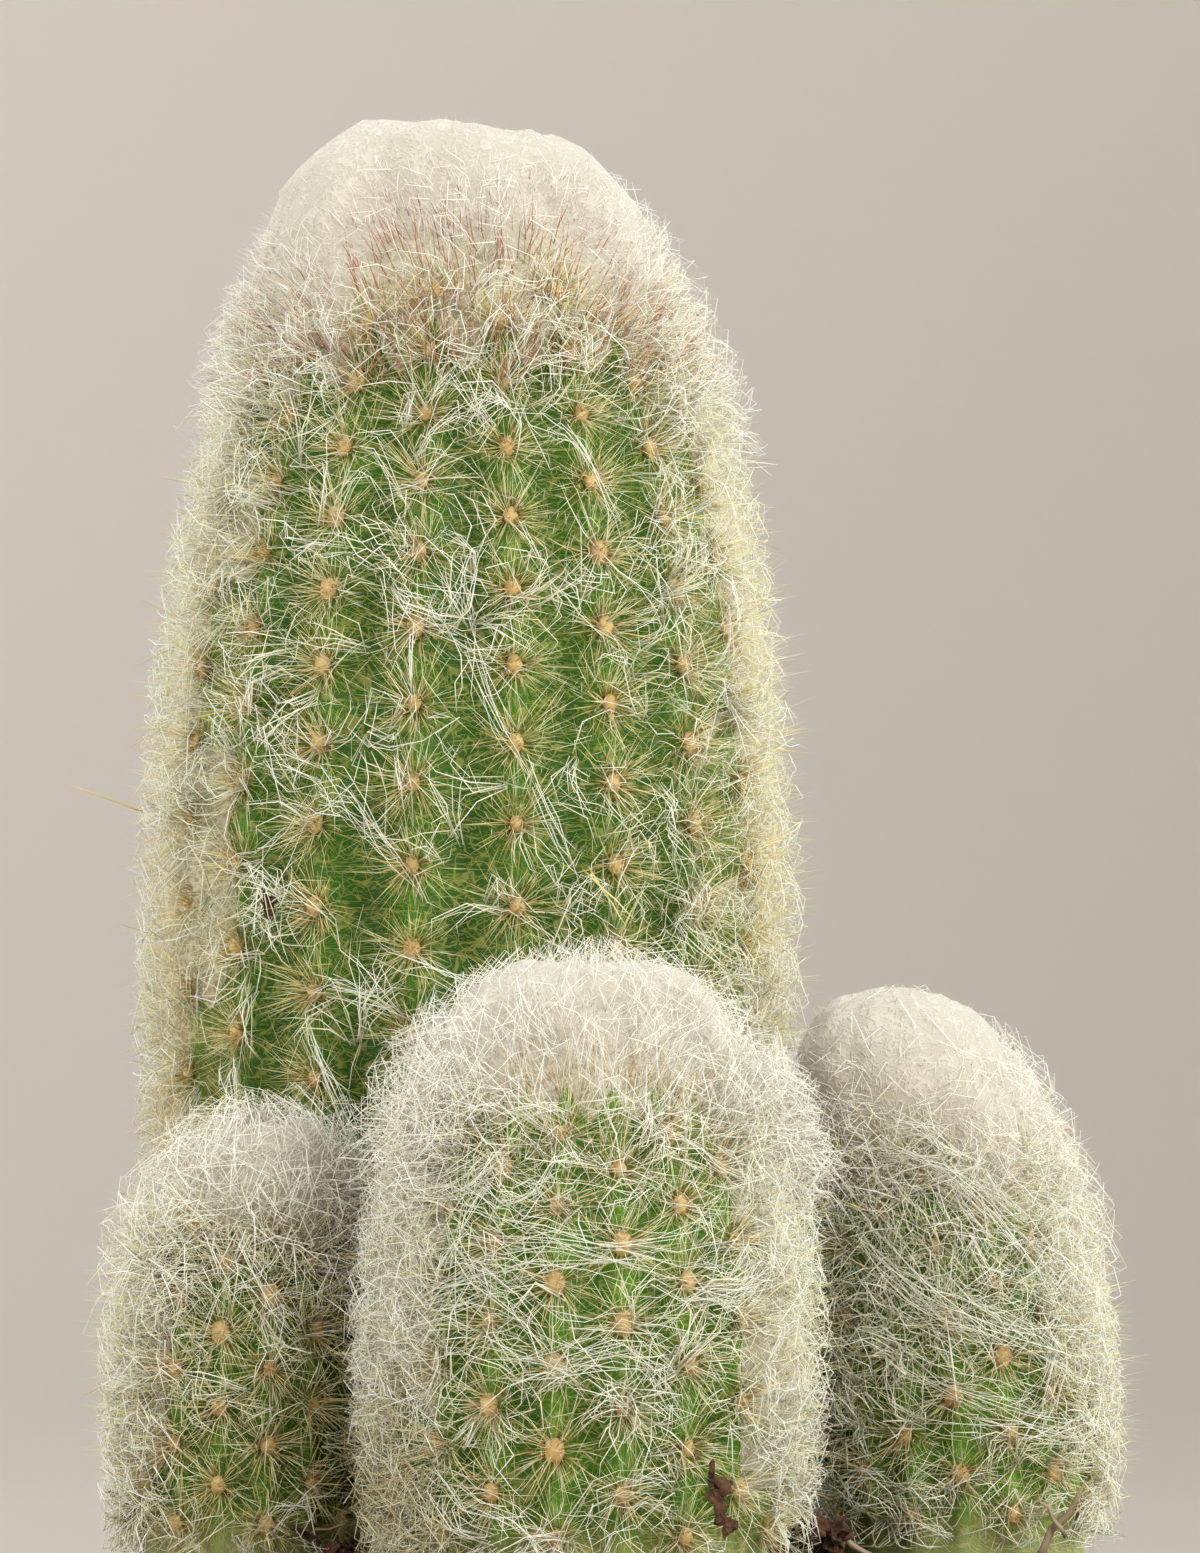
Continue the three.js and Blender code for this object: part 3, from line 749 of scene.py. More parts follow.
bristle = {"tint": (0, 1), "age": 0, "stray": 0.1}
coat = {
    "radial": dict(bristle, count=22, tilt=(4, 45), length=(2.0, 5.8), thick=0.08, pad=0.9, tint=(0.1, 0.8),
                   age=0.35, stray=0.2),
    "halo": dict(bristle, count=60, tilt=(30, 89), length=(2.2, 5.0), thick=0.078, pad=1.9, tint=(0, 0.7),
                 age=0.35, stray=0.3),
    "spine": dict(bristle, count=3, tilt=(35, 85), length=(3.4, 5.6), thick=0.14, pad=0.5),
    "felt": dict(bristle, count=28, tilt=(12, 85), length=(1.2, 2.7), thick=0.12, pad=1.0, tint=(0, 0.4),
                 age=0.6, stray=0.25),
    "fluff": dict(bristle, count=1, tilt=(2, 40), length=(2.5, 5.5), thick=0.055, pad=0.1, tint=(0.2, 0.8),
                  age=0.4),
    "fluffPerMm2": 0.05,
    "paintedPaler": {"main": 0.0, "front": 0.3, "left": 0.2, "right": 0.3},    # painted light: the short stems' hair is drawn whiter, to make up for the shade they stand in
}

# the wool is thick in some patches and thin in others
patches = {"size": 7 * mm, "strength": 2.2, "parting": 0.2, "tries": 4}

thread = {"points": 4, "curl": 1.0, "thick": 0.085, "locks": 1, "tied": 0.72, "spread": 0.2, "apart": 0.3}
web = {
    "main": dict(thread, roots=1000, hairs=7200, length=(2.8, 7.5), lift=(0.8, 3.1), tint=(0.05, 0.6),
                 age=0.32),
    "front": dict(thread, roots=400, hairs=2700, length=(2.8, 7), lift=(0.6, 2.9), tint=(0.1, 0.6), age=0.2),
    "left": dict(thread, roots=220, hairs=1500, length=(2.5, 6), lift=(0.5, 2.4), tint=(0.2, 0.75), age=0.25),
    "right": dict(thread, roots=300, hairs=2000, length=(2.8, 7), lift=(0.6, 2.8), tint=(0.1, 0.65), age=0.2),
}
# where the skin is nearly bare: between which turns and heights
partings = {
    "main": [{"turn": (245, 262), "h": (47, 54)}, {"turn": (262, 276), "h": (68, 76)}],
    "front": [{"turn": (266, 312), "h": (4, 12)}, {"turn": (248, 300), "h": (19, 22)}],
    "left": [{"turn": (255, 300), "h": (4, 15)}],
    "right": [{"turn": (235, 285), "h": (12, 24)}],
}

# thicker wool down one side of a stem: where round it, from and to what height, and how much
mantles = {
    "main": [
        {"turn": (340, 392), "h": (14, 84), "count": 550},
        {"turn": (150, 206), "h": (10, 84), "count": 600},
        {"turn": (292, 348), "h": (8, 54), "count": 700, "hair": {"tint": (0.4, 0.8), "lift": (0.6, 2.6)}},
    ],
    "front": [
        {"turn": (150, 232), "h": (9, 31), "count": 1000},
        {"turn": (315, 385), "h": (3, 30), "count": 650},
        {"turn": (165, 238), "h": (0.5, 9), "count": 550, "hair": {"tint": (0.7, 1)}},
        {"turn": (274, 290), "h": (10.5, 13), "count": 50},
    ],
    "left": [
        {"turn": (125, 240), "h": (2, 19), "count": 800, "hair": {"tint": (0, 0.4), "lift": (0.8, 2.8)}},
        {"turn": (-50, 50), "h": (19, 26), "count": 160, "hair": {"tint": (0, 0.4), "lift": (3, 6.5)}},
    ],
    "right": [
        {"turn": (300, 400), "h": (7, 26), "count": 900, "hair": {"lift": (0.8, 2.8)}},
        {"turn": (215, 300), "h": (12, 28), "count": 450, "hair": {"tint": (0.3, 0.7), "lift": (0.5, 2.2)}},
    ],
}
mantleHair = {"points": 4, "curl": 0.85, "length": (2.5, 6), "lift": (1.0, 3.3), "thick": 0.08,
              "locks": 1, "tied": 0, "spread": 0.2, "apart": 0, "tint": (0, 0.6), "age": 0}

locks = {
    "count": 11,
    "points": 5,
    "bow": 1.6,             # mm
    "fray": 0.7,
    "lift": (0.8, 2.6),
    "thick": 0.07,
    "tint": (0, 0.6),
    "reach": (5, 12),       # length, and how much of it goes upwards
    "upward": 0.6,
    # each hair's stretch of the way: its middle, half its length, and its furthest end
    "middle": (0.1, 0.9),
    "half": (0.15, 0.45),
    "furthest": 1.1,
    "ownBow": 0.5,          # as shares of the bow
    "sway": 0.35,
    "swayTurn": 9,          # how far the sway turns over the whole length
    "together": 0.3,        # as shares of the fray
    "slant": 1.1,
    "wavy": 0.22,
    "clear": 0.5 * mm,      # over the skin and from the tip
}
lockCount = {"main": 60, "front": 36, "left": 14, "right": 24}
long = dict(locks, points=6)
strand = {
    "main": dict(long, count=13, fray=1.1),
    "front": dict(long, count=30, fray=1.4),
    "left": dict(long, count=18, fray=1.3),
    "right": dict(long, count=26, fray=1.3),
}
# long strands of wool that cross a stem: turns round it and heights at both ends
crossings = {
    "front": [(222, 22.5, 318, 22), (205, 18, 262, 17), (285, 16.5, 335, 19),
              (240, 14, 300, 13.2), (228, 24.5, 262, 25.5)],
    "right": [(225, 26, 330, 15), (235, 22, 340, 12.5), (240, 12, 350, 10)],
    "main": [(255, 63, 283, 58), (272, 60, 292, 46), (240, 35, 262, 24),
             (228, 55, 250, 50), (285, 75, 305, 68)],
    "left": [(250, 21, 300, 14)],
}


# the pad of felt at each areole, browner towards the soil
pad = {"radius": 0.66 * mm, "uneven": (0.8, 1.2), "lift": 0.2 * mm, "tall": 1.3, "thick": 0.6,
       "tint": (0.1, 0.6)}


def addPads(stem, areoles):
    bm = bmesh.new()
    place, out, right, up = stem.surface(areoles[:, 0], areoles[:, 1], pad["lift"])
    for spot, normal, across, rise in zip(place, out, right, up):
        axes = Matrix((across, rise * pad["tall"], normal * pad["thick"])).transposed().to_4x4()
        radius = pad["radius"] * stem.rng.uniform(*pad["uneven"])
        bmesh.ops.create_icosphere(bm, subdivisions=1, radius=radius, matrix=Matrix.Translation(spot) @ axes)
    layer = bm.verts.layers.float.new("tint")
    fresh, older = pad["tint"]
    for vert in bm.verts:
        vert[layer] = fresh + older * (1 - min((vert.co.z - stem.soil) / stem.height, 1))
    piece = link(stem.name + "_pads", bm, ochreFelt)
    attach(piece, "root")


# Locks that start at random areoles, and those that cross the stem where they are told to.
def addLocks(stem, areoles):
    first = areoles[stem.rng.integers(0, len(areoles), lockCount[stem.name])]
    turn = stem.rng.uniform(0, 2 * math.pi, len(first))
    reach = stem.rng.uniform(*locks["reach"], len(first)) * mm
    rise = locks["upward"] * reach * np.sin(turn)
    last = first + np.stack([reach * np.cos(turn) / stem.radiusAt(first[:, 1]), rise], 1)
    ends = np.array(crossings[stem.name])
    across = [np.stack([np.radians(ends[:, k]), stem.alongAt(ends[:, k + 1] * mm)], 1) for k in (0, 2)]
    return (first, last, locks), (*across, strand[stem.name])


def addCoat(stem):
    areoles = stem.areoles()
    addPads(stem, areoles)
    addStrands(stem.name + "_felt", [radiate(stem, areoles, coat["felt"])], ochreFelt)
    area = 2 * math.pi * stem.radius * stem.bareTop / mm ** 2
    fluff = stem.scatter(round(area * coat["fluffPerMm2"]), hair["low"], stem.bareTop)
    addStrands(stem.name + "_bristles",
               [radiate(stem, areoles, coat["radial"]), radiate(stem, areoles, coat["halo"])], strawBristle)
    addStrands(stem.name + "_fluff", [radiate(stem, fluff, coat["fluff"])], strawBristle)
    addStrands(stem.name + "_spines", [radiate(stem, areoles, coat["spine"])], amberSpine)
    bundles = addLocks(stem, areoles)
    threads = web[stem.name]
    roots = woollySpots(stem, threads["roots"])
    pick = stem.rng.integers(0, len(roots), threads["hairs"])
    groups = [wander(stem, roots, pick, threads)] + [drape(stem, *bundle) for bundle in bundles]
    for mantle in mantles[stem.name]:
        spots = stem.scatter(mantle["count"], mantle["h"][0] * mm, mantle["h"][1] * mm)
        low, high = mantle["turn"]
        spots[:, 0] = np.radians(stem.rng.triangular(low, (low + high) / 2, high, len(spots)))
        groups.append(wander(stem, spots, np.arange(len(spots)), dict(mantleHair, **mantle.get("hair", {}))))
    addStrands(stem.name + "_web", groups, whiteWool)


for stem in stems.values():
    addCoat(stem)


# crown wool: a soft core under standing and curling hairs

crown = {
    "tufts": [(3.4 * mm, 0.6 * mm), (1.2 * mm, 0.3 * mm)],     # how wide and how high
    "tan": "#c9b083",
    "cream": "#cbc3a8",
    "white": "#c8bfb0",
    # painted shade in the gaps between the threads
    "threadShade": "#a39d7c",
    "edge": 6,              # mm over which the core rises out of the skin at its lower edge
    "sunk": 0.8,            # how far it lies in the skin below that, as a share of the wool's depth
    "wobble": (11, 6 * mm),     # how many degrees a skirt's edge wanders, and over what height
    "thin": (0.2, 0.8),     # whiteness at the foot, and how much more where the wool is full
    "faceWool": {"main": 0.2, "front": 0.36, "left": 0.3, "right": 0.34},   # whiteness of the open face
    "faceEdge": (0.7, 1.2),     # shares of the half width between which the face, and a skirt, gives out
    "skirtEdge": (0.3, 1.3),
    "whitens": (-2, 5),     # mm from the core's lower edge between which the wool becomes full
    "byHeight": 0.45,       # how full it is by height alone, at the tip
    "footWool": 60,         # mm: a stem whose core stands lower than this is whiter all over
    "upward": 0.8,          # how far the tufts of the very top point upwards
    "faceTop": (0.84, 0.96, 0.36),      # shares of the height between which it whitens, and how much
    "shoulder": (0.9, 0.955, 0.985, 0.999),     # shares of the height between which it is squarer
    "bareFace": 0.82,     # share of the matted threads that the open face lacks
}

# From what height the core stands, and how much of the wool's depth it fills. On the open face it is thin,
# and its skirts run down the sides that are woolly.
crownCore = {
    "main": {"rows": 52, "steps": 120, "low": 79, "fill": 0.86, "swell": 0.1, "square": 0.18,
             "face": {"turn": -85, "half": 46, "top": (87.5, 91.5), "fill": 0.08},
             "skirts": [{"turn": 4, "half": 28, "low": 20, "fill": 0.52},
                        {"turn": 182, "half": 27, "low": 16, "fill": 0.46}]},
    "front": {"rows": 52, "steps": 120, "low": 27, "fill": 0.84, "swell": 0, "square": 0.1,
              "face": {"turn": -88, "half": 52, "top": (33, 35.5), "fill": 0.05},
              "skirts": [{"turn": 190, "half": 38, "low": 8, "fill": 0.5},
                         {"turn": 355, "half": 34, "low": 2, "fill": 0.42}]},
    "left": {"rows": 40, "steps": 90, "low": 18, "fill": 0.5, "swell": 0, "square": 0.1,
             "face": {"turn": -80, "half": 36, "top": (20.5, 24), "fill": 0.1},
             "skirts": [{"turn": 178, "half": 46, "low": 2, "fill": 0.58}]},
    "right": {"rows": 40, "steps": 90, "low": 21, "fill": 0.88, "swell": 0, "square": 0.0,
              "face": {"turn": -115, "half": 44, "top": (25.5, 29), "fill": 0.1},
              "skirts": [{"turn": 0, "half": 46, "low": 7, "fill": 0.55}]},
}

standing = {"curl": 0, "onFace": 1, "bulge": 0, "root": 0}
tuft = dict(standing, short=0.55, spread=0.35, rise=0.15, gather=0.25, thick=0.075, tint=(0, 0.6))
fuzz = dict(standing, short=0.9, spread=1.1, rise=0.2, gather=0.1, thick=0.075, tint=(0, 0.4), root=0.68,
            tufts=60)
crownHairs = {
    "main": [
        dict(tuft, count=3900, low=50, high=86, depth=(2.8, 4.3), tufts=500, bulge=0.1, onFace=0.4),
        dict(tuft, count=1500, low=82, high=92, depth=(3.4, 4.6), tufts=160, onFace=0.25, tint=(0, 0.7)),
        dict(fuzz, count=7400, low=78, depth=(4.3, 6.4), bulge=0.1, onFace=0.25, thick=0.062),
    ],
    "front": [
        dict(tuft, count=2000, low=20, depth=(2.8, 4.8), tufts=200, onFace=0.5),
        dict(fuzz, count=2400, low=27, depth=(3.8, 5.8), onFace=0.3, rise=0.5, thick=0.065),
        dict(tuft, count=800, low=29, depth=(5.4, 8.0), tufts=24, spread=0.5, gather=0.65, rise=0.6,
             thick=0.065),
    ],
    "left": [
        dict(tuft, count=1500, low=15, depth=(2.2, 4.0), tufts=120),
        dict(fuzz, count=1200, low=20, depth=(2.8, 4.4), rise=0.5),
    ],
    "right": [
        dict(tuft, count=900, low=17, high=26, depth=(2.6, 3.8), tufts=160),
        dict(fuzz, count=3400, low=23, depth=(3.6, 5.0), thick=0.062),
    ],
}

# curly threads that lie matted on the crown
matted = {"points": 4, "curl": 0.8, "length": (3, 7), "thick": 0.075, "locks": 3, "tied": 0.4, "spread": 0.3,
          "apart": 0.8, "tint": (0, 0.5), "age": 0}
mats = {
    "main": dict(matted, roots=420, hairs=2400, low=76, lift=(3.2, 4.9), length=(2.5, 5), thick=0.065),
    "front": dict(matted, roots=260, hairs=3200, low=26, lift=(2.6, 5.9), curl=1.1, apart=1.2, thick=0.068),
    "left": dict(matted, roots=130, hairs=1300, low=19, lift=(1.8, 4.4), curl=0.95, apart=1.0),
    "right": dict(matted, roots=220, hairs=1600, low=20, lift=(2.2, 4.2), thick=0.065),
}

young = dict(standing, short=0.65, spread=0.22, rise=0.35, gather=0.2, tint=(0, 1))
youngSpines = {
    "main": dict(young, count=1700, low=79, high=92.8, depth=(4.2, 5.3), tufts=300, thick=0.13),
    "front": dict(young, count=420, low=27, high=35.7, depth=(2.8, 4.2), tufts=90, thick=0.085),
    "left": dict(young, count=220, low=19, high=26.8, depth=(2.4, 3.6), tufts=50, thick=0.08),
    "right": dict(young, count=300, low=24, high=33.7, depth=(2.8, 4.0), tufts=70, thick=0.085),
}

undercoat = dict(standing, short=0.6, spread=0.4, rise=0.2, gather=0.1, thick=0.085, tint=(0, 0.8),
                 depth=(1.4, 2.6), tufts=80)
undercoats = {
    "main": dict(undercoat, count=2200, low=81),
    "front": dict(undercoat, count=1600, low=27),
    "left": dict(undercoat, count=700, low=20),
    "right": dict(undercoat, count=900, low=26),
}


def fleeceMaterial():
    # matted wool: white fibres packed so close that they read as soft felt, tan where they are thin
    material, tree = newMaterial("matted white wool")
    whiteness = addNode(tree, "Attribute", out="Fac", attribute_name="whiteness")
    mottled = objectNoise(tree, 1.6, 4, 0.6)
    lightness = addNode(tree, "Math", [mottled, 0.4, whiteness], operation="MULTIPLY_ADD")
    stops = [(0.3, crown["tan"]), (0.6, crown["cream"]), (0.95, crown["white"])]
    wool = addNode(tree, "ValToRGB", [lightness], stops=stops)
    threads = [curlyThreads(tree, 1.1, 0.13, 0.06), curlyThreads(tree, 0.7, 0.57, 0.06)]
    threads = addNode(tree, "Math", threads, operation="MAXIMUM")
    # painted shade: the gaps between the threads are darker, more so where the wool is thin
    gapShade = addNode(tree, "MapRange", [whiteness, 0.2, 0.6, 0.85, 0.16])
    between = addNode(tree, "MapRange", [threads, 0, 1, gapShade, 0])
    height = addNode(tree, "Math", [objectNoise(tree, 0.3, 4, 0.7), 0.6, threads], operation="MULTIPLY_ADD")
    colour = addNode(tree, "Mix", {0: between, 6: wool, 7: crown["threadShade"]}, 2, data_type="RGBA",
                     blend_type="MULTIPLY")
    bump = addNode(tree, "Bump", {"Strength": 0.5, "Distance": 0.2 * mm, "Height": height})
    finishSurface(tree, colour, 0.9, 0.1, {"Sheen Weight": 0.3, "Sheen Roughness": 0.5, "Normal": bump})
    return material


# How much of the wool's depth the skirts fill at a place, and how fully they cover it.
def skirtAt(core, angle, h):
    fill, cover = 0, 0
    degrees, tall = crown["wobble"]
    inner, outer = crown["skirtEdge"]
    for skirt in core["skirts"]:
        away = degreesApart(angle, skirt["turn"])
        away += degrees * noise.noise(Vector((skirt["turn"], 2 * angle, h / tall)))
        share = 1 - ease(inner * skirt["half"], outer * skirt["half"], away)
        share *= ease(skirt["low"], skirt["low"] + crown["edge"], h / mm)
        fill = max(fill, skirt["fill"] * share)
        cover = max(cover, share)
    return fill, cover


# Whiteness of the wool at a place on the core, and how much of the wool's depth the core fills there.
def woolAt(stem, angle, h):
    core = crownCore[stem.name]
    low, part = core["low"], h / stem.height
    sideFill, cover = skirtAt(core, angle, h)
    top = ease(low + crown["whitens"][0], low + crown["whitens"][1], h / mm)
    face = openFace(stem, angle, h)
    least, more = crown["thin"]
    wool = least + more * max(top, 1 - low / crown["footWool"], crown["byHeight"] * h / stem.height)
    start, end, gain = crown["faceTop"]
    bare = crown["faceWool"][stem.name] + gain * ease(start, end, part)
    out = ease(low, low + crown["edge"], h / mm)
    fill = sideFill + (core["fill"] - sideFill) * out
    fill += (core["face"]["fill"] - fill) * face
    shoulder = ease(*crown["shoulder"][:2], part) * (1 - ease(*crown["shoulder"][2:], part))
    fill *= 1 + core["swell"] * math.cos(angle - math.pi) * top + core["square"] * shoulder
    fill -= crown["sunk"] * (1 - max(out, cover))
    return wool + (bare - wool) * face, fill


def addFleece(stem, material):
    core, woolLine = crownCore[stem.name], stem.woolLine
    lowest = min(skirt["low"] for skirt in core["skirts"]) * mm
    profile = [(0.0, lowest)]
    for s in np.linspace(stem.alongAt(lowest), stem.length, core["rows"] + 1):
        profile.append((float(stem.radiusAt(s)) if s < stem.length else 0.0, float(stem.heightAt(s))))
    bm = spinProfile(profile, core["steps"])
    layer = bm.verts.layers.float.new("whiteness")
    for vert in bm.verts:
        angle, r, h = math.atan2(vert.co.y, vert.co.x), math.hypot(vert.co.x, vert.co.y), vert.co.z
        vert[layer], fill = woolAt(stem, angle, h)
        w = stem.alongAt(h) / stem.length * woolLine["along"][-1]
        wide = r + (np.interp(w, woolLine["along"], woolLine["r"]) - r) * fill if r else 0
        high = h + (np.interp(w, woolLine["along"], woolLine["h"]) - h) * fill
        share = ease(core["low"], stem.height / mm, h / mm)
        x, y = stem.axisAt(h, stem.lean + (stem.woolLean - stem.lean) * share)
        normal = Vector((vert.co.x, vert.co.y, crown["upward"] * max(h - stem.bareTop, 0))).normalized()
        vert.co = (x + wide * math.cos(angle), y + wide * math.sin(angle), stem.soil + high)
        lump = sum(tall * noise.fractal(vert.co / size, 1.0, 2.0, 2) for size, tall in crown["tufts"])
        vert.co += normal * lump * max(fill, 0)
    piece = link(stem.name + "_fleece", bm, material)
    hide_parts(stem.name + "_wool")
    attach(piece, "root")


def addCrown(stem):
    addStrands(stem.name + "_undercoat", [standUp(stem, undercoats[stem.name])], ochreFelt)
    mat = mats[stem.name]
    roots = stem.scatter(mat["roots"], mat["low"] * mm)
    pick = stem.rng.integers(0, len(roots), mat["hairs"])
    pick = pick[stem.rng.random(len(pick)) > crown["bareFace"] * openFaces(stem, roots[pick])]
    hairs = [standUp(stem, kind) for kind in crownHairs[stem.name]]
    addStrands(stem.name + "_crownHair", hairs + [wander(stem, roots, pick, mat)], crownWool)
    addStrands(stem.name + "_youngSpines", [standUp(stem, youngSpines[stem.name])],
               russetSpine if stem.name == "main" else amberSpine)


fleece = fleeceMaterial()
for stem in stems.values():
    addFleece(stem, fleece)
    addCrown(stem)
print("crowns")


# pot

pot = {
    "steps": 96,
    "rimBand": 20 * mm,
    "rimStep": 3 * mm,
    "rimTaper": 1 * mm,
    "sharp": 25,            # degrees over which an edge is rounded
    "footRadius": 37 * mm,
    "wall": 4 * mm,
    "floor": 7 * mm,
    "drain": 6 * mm,
    "edgeRound": 1.2 * mm,
    "colour": "#b4663f",
    "dark": "#9a5233",
    "bloom": "#d0a48a",
}


def clayMaterial():
    # terracotta: low-fired, unglazed clay, matt and porous, with turning marks and a pale lime bloom
    material, tree = newMaterial("unglazed terracotta")
    clays = [(0.35, pot["dark"]), (0.65, pot["colour"])]
    body = addNode(tree, "ValToRGB", [objectNoise(tree, 18, 5, 0.6)], stops=clays)
    lime = addNode(tree, "MapRange", [objectNoise(tree, 30, 6, 0.7), 0.52, 0.75, 0, 0.55])
    rings, grit = objectNoise(tree, 1.2, 2, 0.5, (0.03, 0.03, 1)), objectNoise(tree, 0.6, 4, 0.7)
    height = addNode(tree, "Math", [rings, 0.5, grit], operation="MULTIPLY_ADD")
    colour = addNode(tree, "Mix", {0: lime, 6: body, 7: pot["bloom"]}, 2, data_type="RGBA")
    finishSurface(tree, colour, 0.88, 0.25,
                  {"Normal": addNode(tree, "Bump", {"Strength": 0.5, "Distance": 0.15 * mm, "Height": height})})
    return material


def addPot():
    low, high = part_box("pot")
    height, rim = high.z - low.z, high.x
    slope = (rim - pot["rimStep"] - pot["footRadius"]) / height
    bandFoot = height - pot["rimBand"]
    inner = pot["footRadius"] - pot["wall"]
    profile = [(pot["drain"], 0), (pot["footRadius"], 0), (pot["footRadius"] + slope * bandFoot, bandFoot),
               (rim - pot["rimTaper"], bandFoot), (rim, height), (inner + slope * height, height),
               (inner + slope * pot["floor"], pot["floor"]), (pot["drain"], pot["floor"])]
    bm = spinProfile(profile, pot["steps"], closed=True)
    sharp = [edge for edge in bm.edges if edge.calc_face_angle(0) > math.radians(pot["sharp"])]
    bmesh.ops.bevel(bm, geom=sharp, offset=pot["edgeRound"], segments=3, profile=0.5, affect="EDGES",
                    material=-1)
    bmesh.ops.recalc_face_normals(bm, faces=bm.faces)
    piece = link("clayPot", bm, clayMaterial())
    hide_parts("pot")
    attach(piece, "root")
    print("pot", len(piece.data.polygons), "faces")


# soil: the solid carries a layer of crumbs, chips of bark and root threads

earth = {
    "dark": "#2a2015",
    "mid": "#463524",
    "pale": "#6a5238",
    "crumbs": 1500,
    "crumbSize": (0.35, 1.2),
    "smaller": (0.6, 1),
    "squash": (0.6, 1.2),
    "turned": 6.3,          # radians, about a full turn
    "bark": 70,
    "barkSize": (1.4, 4.0),
    "barkWide": (0.3, 0.6),     # shares of a chip's length
    "barkThick": (0.12, 0.3),
    "barkRough": 0.07,
    "barkTilt": 0.35,
    "barkLift": 0.4 * mm,
    "roots": 160,
    "rootLength": (2, 6),
    "rootRise": (-0.1, 0.25),
    "rootThick": (0.05, 0.16),
    "rootBend": 0.35 * mm,
    "clear": 1.2 * mm,      # kept free at the pot's wall by crumbs, and how much more by bark and by roots
    "barkClear": 2 * mm,
    "rootClear": 3 * mm,
    "wells": 11 * mm,       # anything lower is in a well under a stem
    "seed": 5,
}


def earthMaterial():
    # potting mix: moist peat and composted bark, dark, rough and matt
    material, tree = newMaterial("potting mix")
    clods = objectNoise(tree, 0.9, 5, 0.75)
    stops = [(0.3, earth["dark"]), (0.55, earth["mid"]), (0.75, earth["pale"])]
    finishSurface(tree, addNode(tree, "ValToRGB", [objectNoise(tree, 1.8, 5, 0.7)], stops=stops), 0.95, 0.2,
                  {"Normal": addNode(tree, "Bump", {"Strength": 0.9, "Distance": 0.4 * mm, "Height": clods})})
    return material


# Random places on the soil, away from the wells under the stems.
def soilSpots(rng, soilTree, reach, count):
    spots = []
    while len(spots) < count:
        r, turn = reach * math.sqrt(rng.random()), rng.uniform(0, 2 * math.pi)
        hit = soilTree.ray_cast(Vector((r * math.cos(turn), r * math.sin(turn), 1)), Vector((0, 0, -1)))[0]
        if hit and hit.z > stems["main"].soil - earth["wells"]:
            spots.append(hit)
    return spots


def addCrumbs(rng, soilTree, reach, material):
    bm = bmesh.new()
    for spot in soilSpots(rng, soilTree, reach, earth["crumbs"]):
        size = rng.uniform(*earth["crumbSize"]) * mm * rng.uniform(*earth["smaller"])
        turned = Euler(rng.uniform(0, earth["turned"], 3)).to_matrix().to_4x4()
        squash = Matrix.Diagonal((*rng.uniform(*earth["squash"], 3), 1))
        bmesh.ops.create_icosphere(bm, subdivisions=1, radius=size,
                                   matrix=Matrix.Translation(spot) @ turned @ squash)
    for spot in soilSpots(rng, soilTree, reach - earth["barkClear"], earth["bark"]):
        size = rng.uniform(*earth["barkSize"]) * mm
        tilts = [rng.normal(0, earth["barkTilt"]) for _ in range(2)]
        turned = Euler((*tilts, rng.uniform(0, earth["turned"]))).to_matrix().to_4x4()
        shares = [rng.uniform(*earth[key]) for key in ("barkWide", "barkThick")]
        chip = Matrix.Diagonal((size, size * shares[0], size * shares[1], 1))
        lifted = Matrix.Translation(spot + Vector((0, 0, earth["barkLift"])))
        for vert in bmesh.ops.create_cube(bm, size=1, matrix=lifted @ turned @ chip)["verts"]:
            vert.co += Vector(rng.normal(0, earth["barkRough"] * size, 3))
    crumbs = link("soilCrumbs", bm, material, smooth=False)
    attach(crumbs, "root")
    print("soil", len(crumbs.data.polygons), "faces")


def addSoil():
    rng = np.random.default_rng(earth["seed"])
    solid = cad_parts["soil"].data
    material = earthMaterial()
    solid.materials.clear()
    solid.materials.append(material)
    soilTree = BVHTree.FromPolygons([vert.co for vert in solid.vertices],
                                    [list(face.vertices) for face in solid.polygons])
    reach = max(vert.co.x for vert in solid.vertices) - earth["clear"]
    addCrumbs(rng, soilTree, reach, material)
    starts = np.array(soilSpots(rng, soilTree, reach - earth["rootClear"], earth["roots"]))
    count = len(starts)
    turn = rng.uniform(0, 2 * math.pi, count)
    ways = np.stack([np.cos(turn), np.sin(turn), rng.uniform(*earth["rootRise"], count)], 1)
    t = np.linspace(0, 1, 4)[None, :, None]
    length = rng.uniform(*earth["rootLength"], (count, 1, 1)) * mm
    paths = starts[:, None, :] + ways[:, None, :] * length * t
    paths += rng.normal(0, earth["rootBend"], paths.shape)
    thick = rng.uniform(*earth["rootThick"], (count, 1)) * mm * (1 - t[:, :, 0] ** 3)
    # dead roots: dry, brown and woody
    fibre = hairMaterial("dry root fibre", "#5a4028", [(0.0, "#7a5a3a"), (1.0, "#4a3422")])
    addStrands("rootThreads", [(paths, thick, rng.uniform(0, 1, count))], fibre)


# litter: dried bits caught in the wool and at the soil, twigs, and a few long stray spines

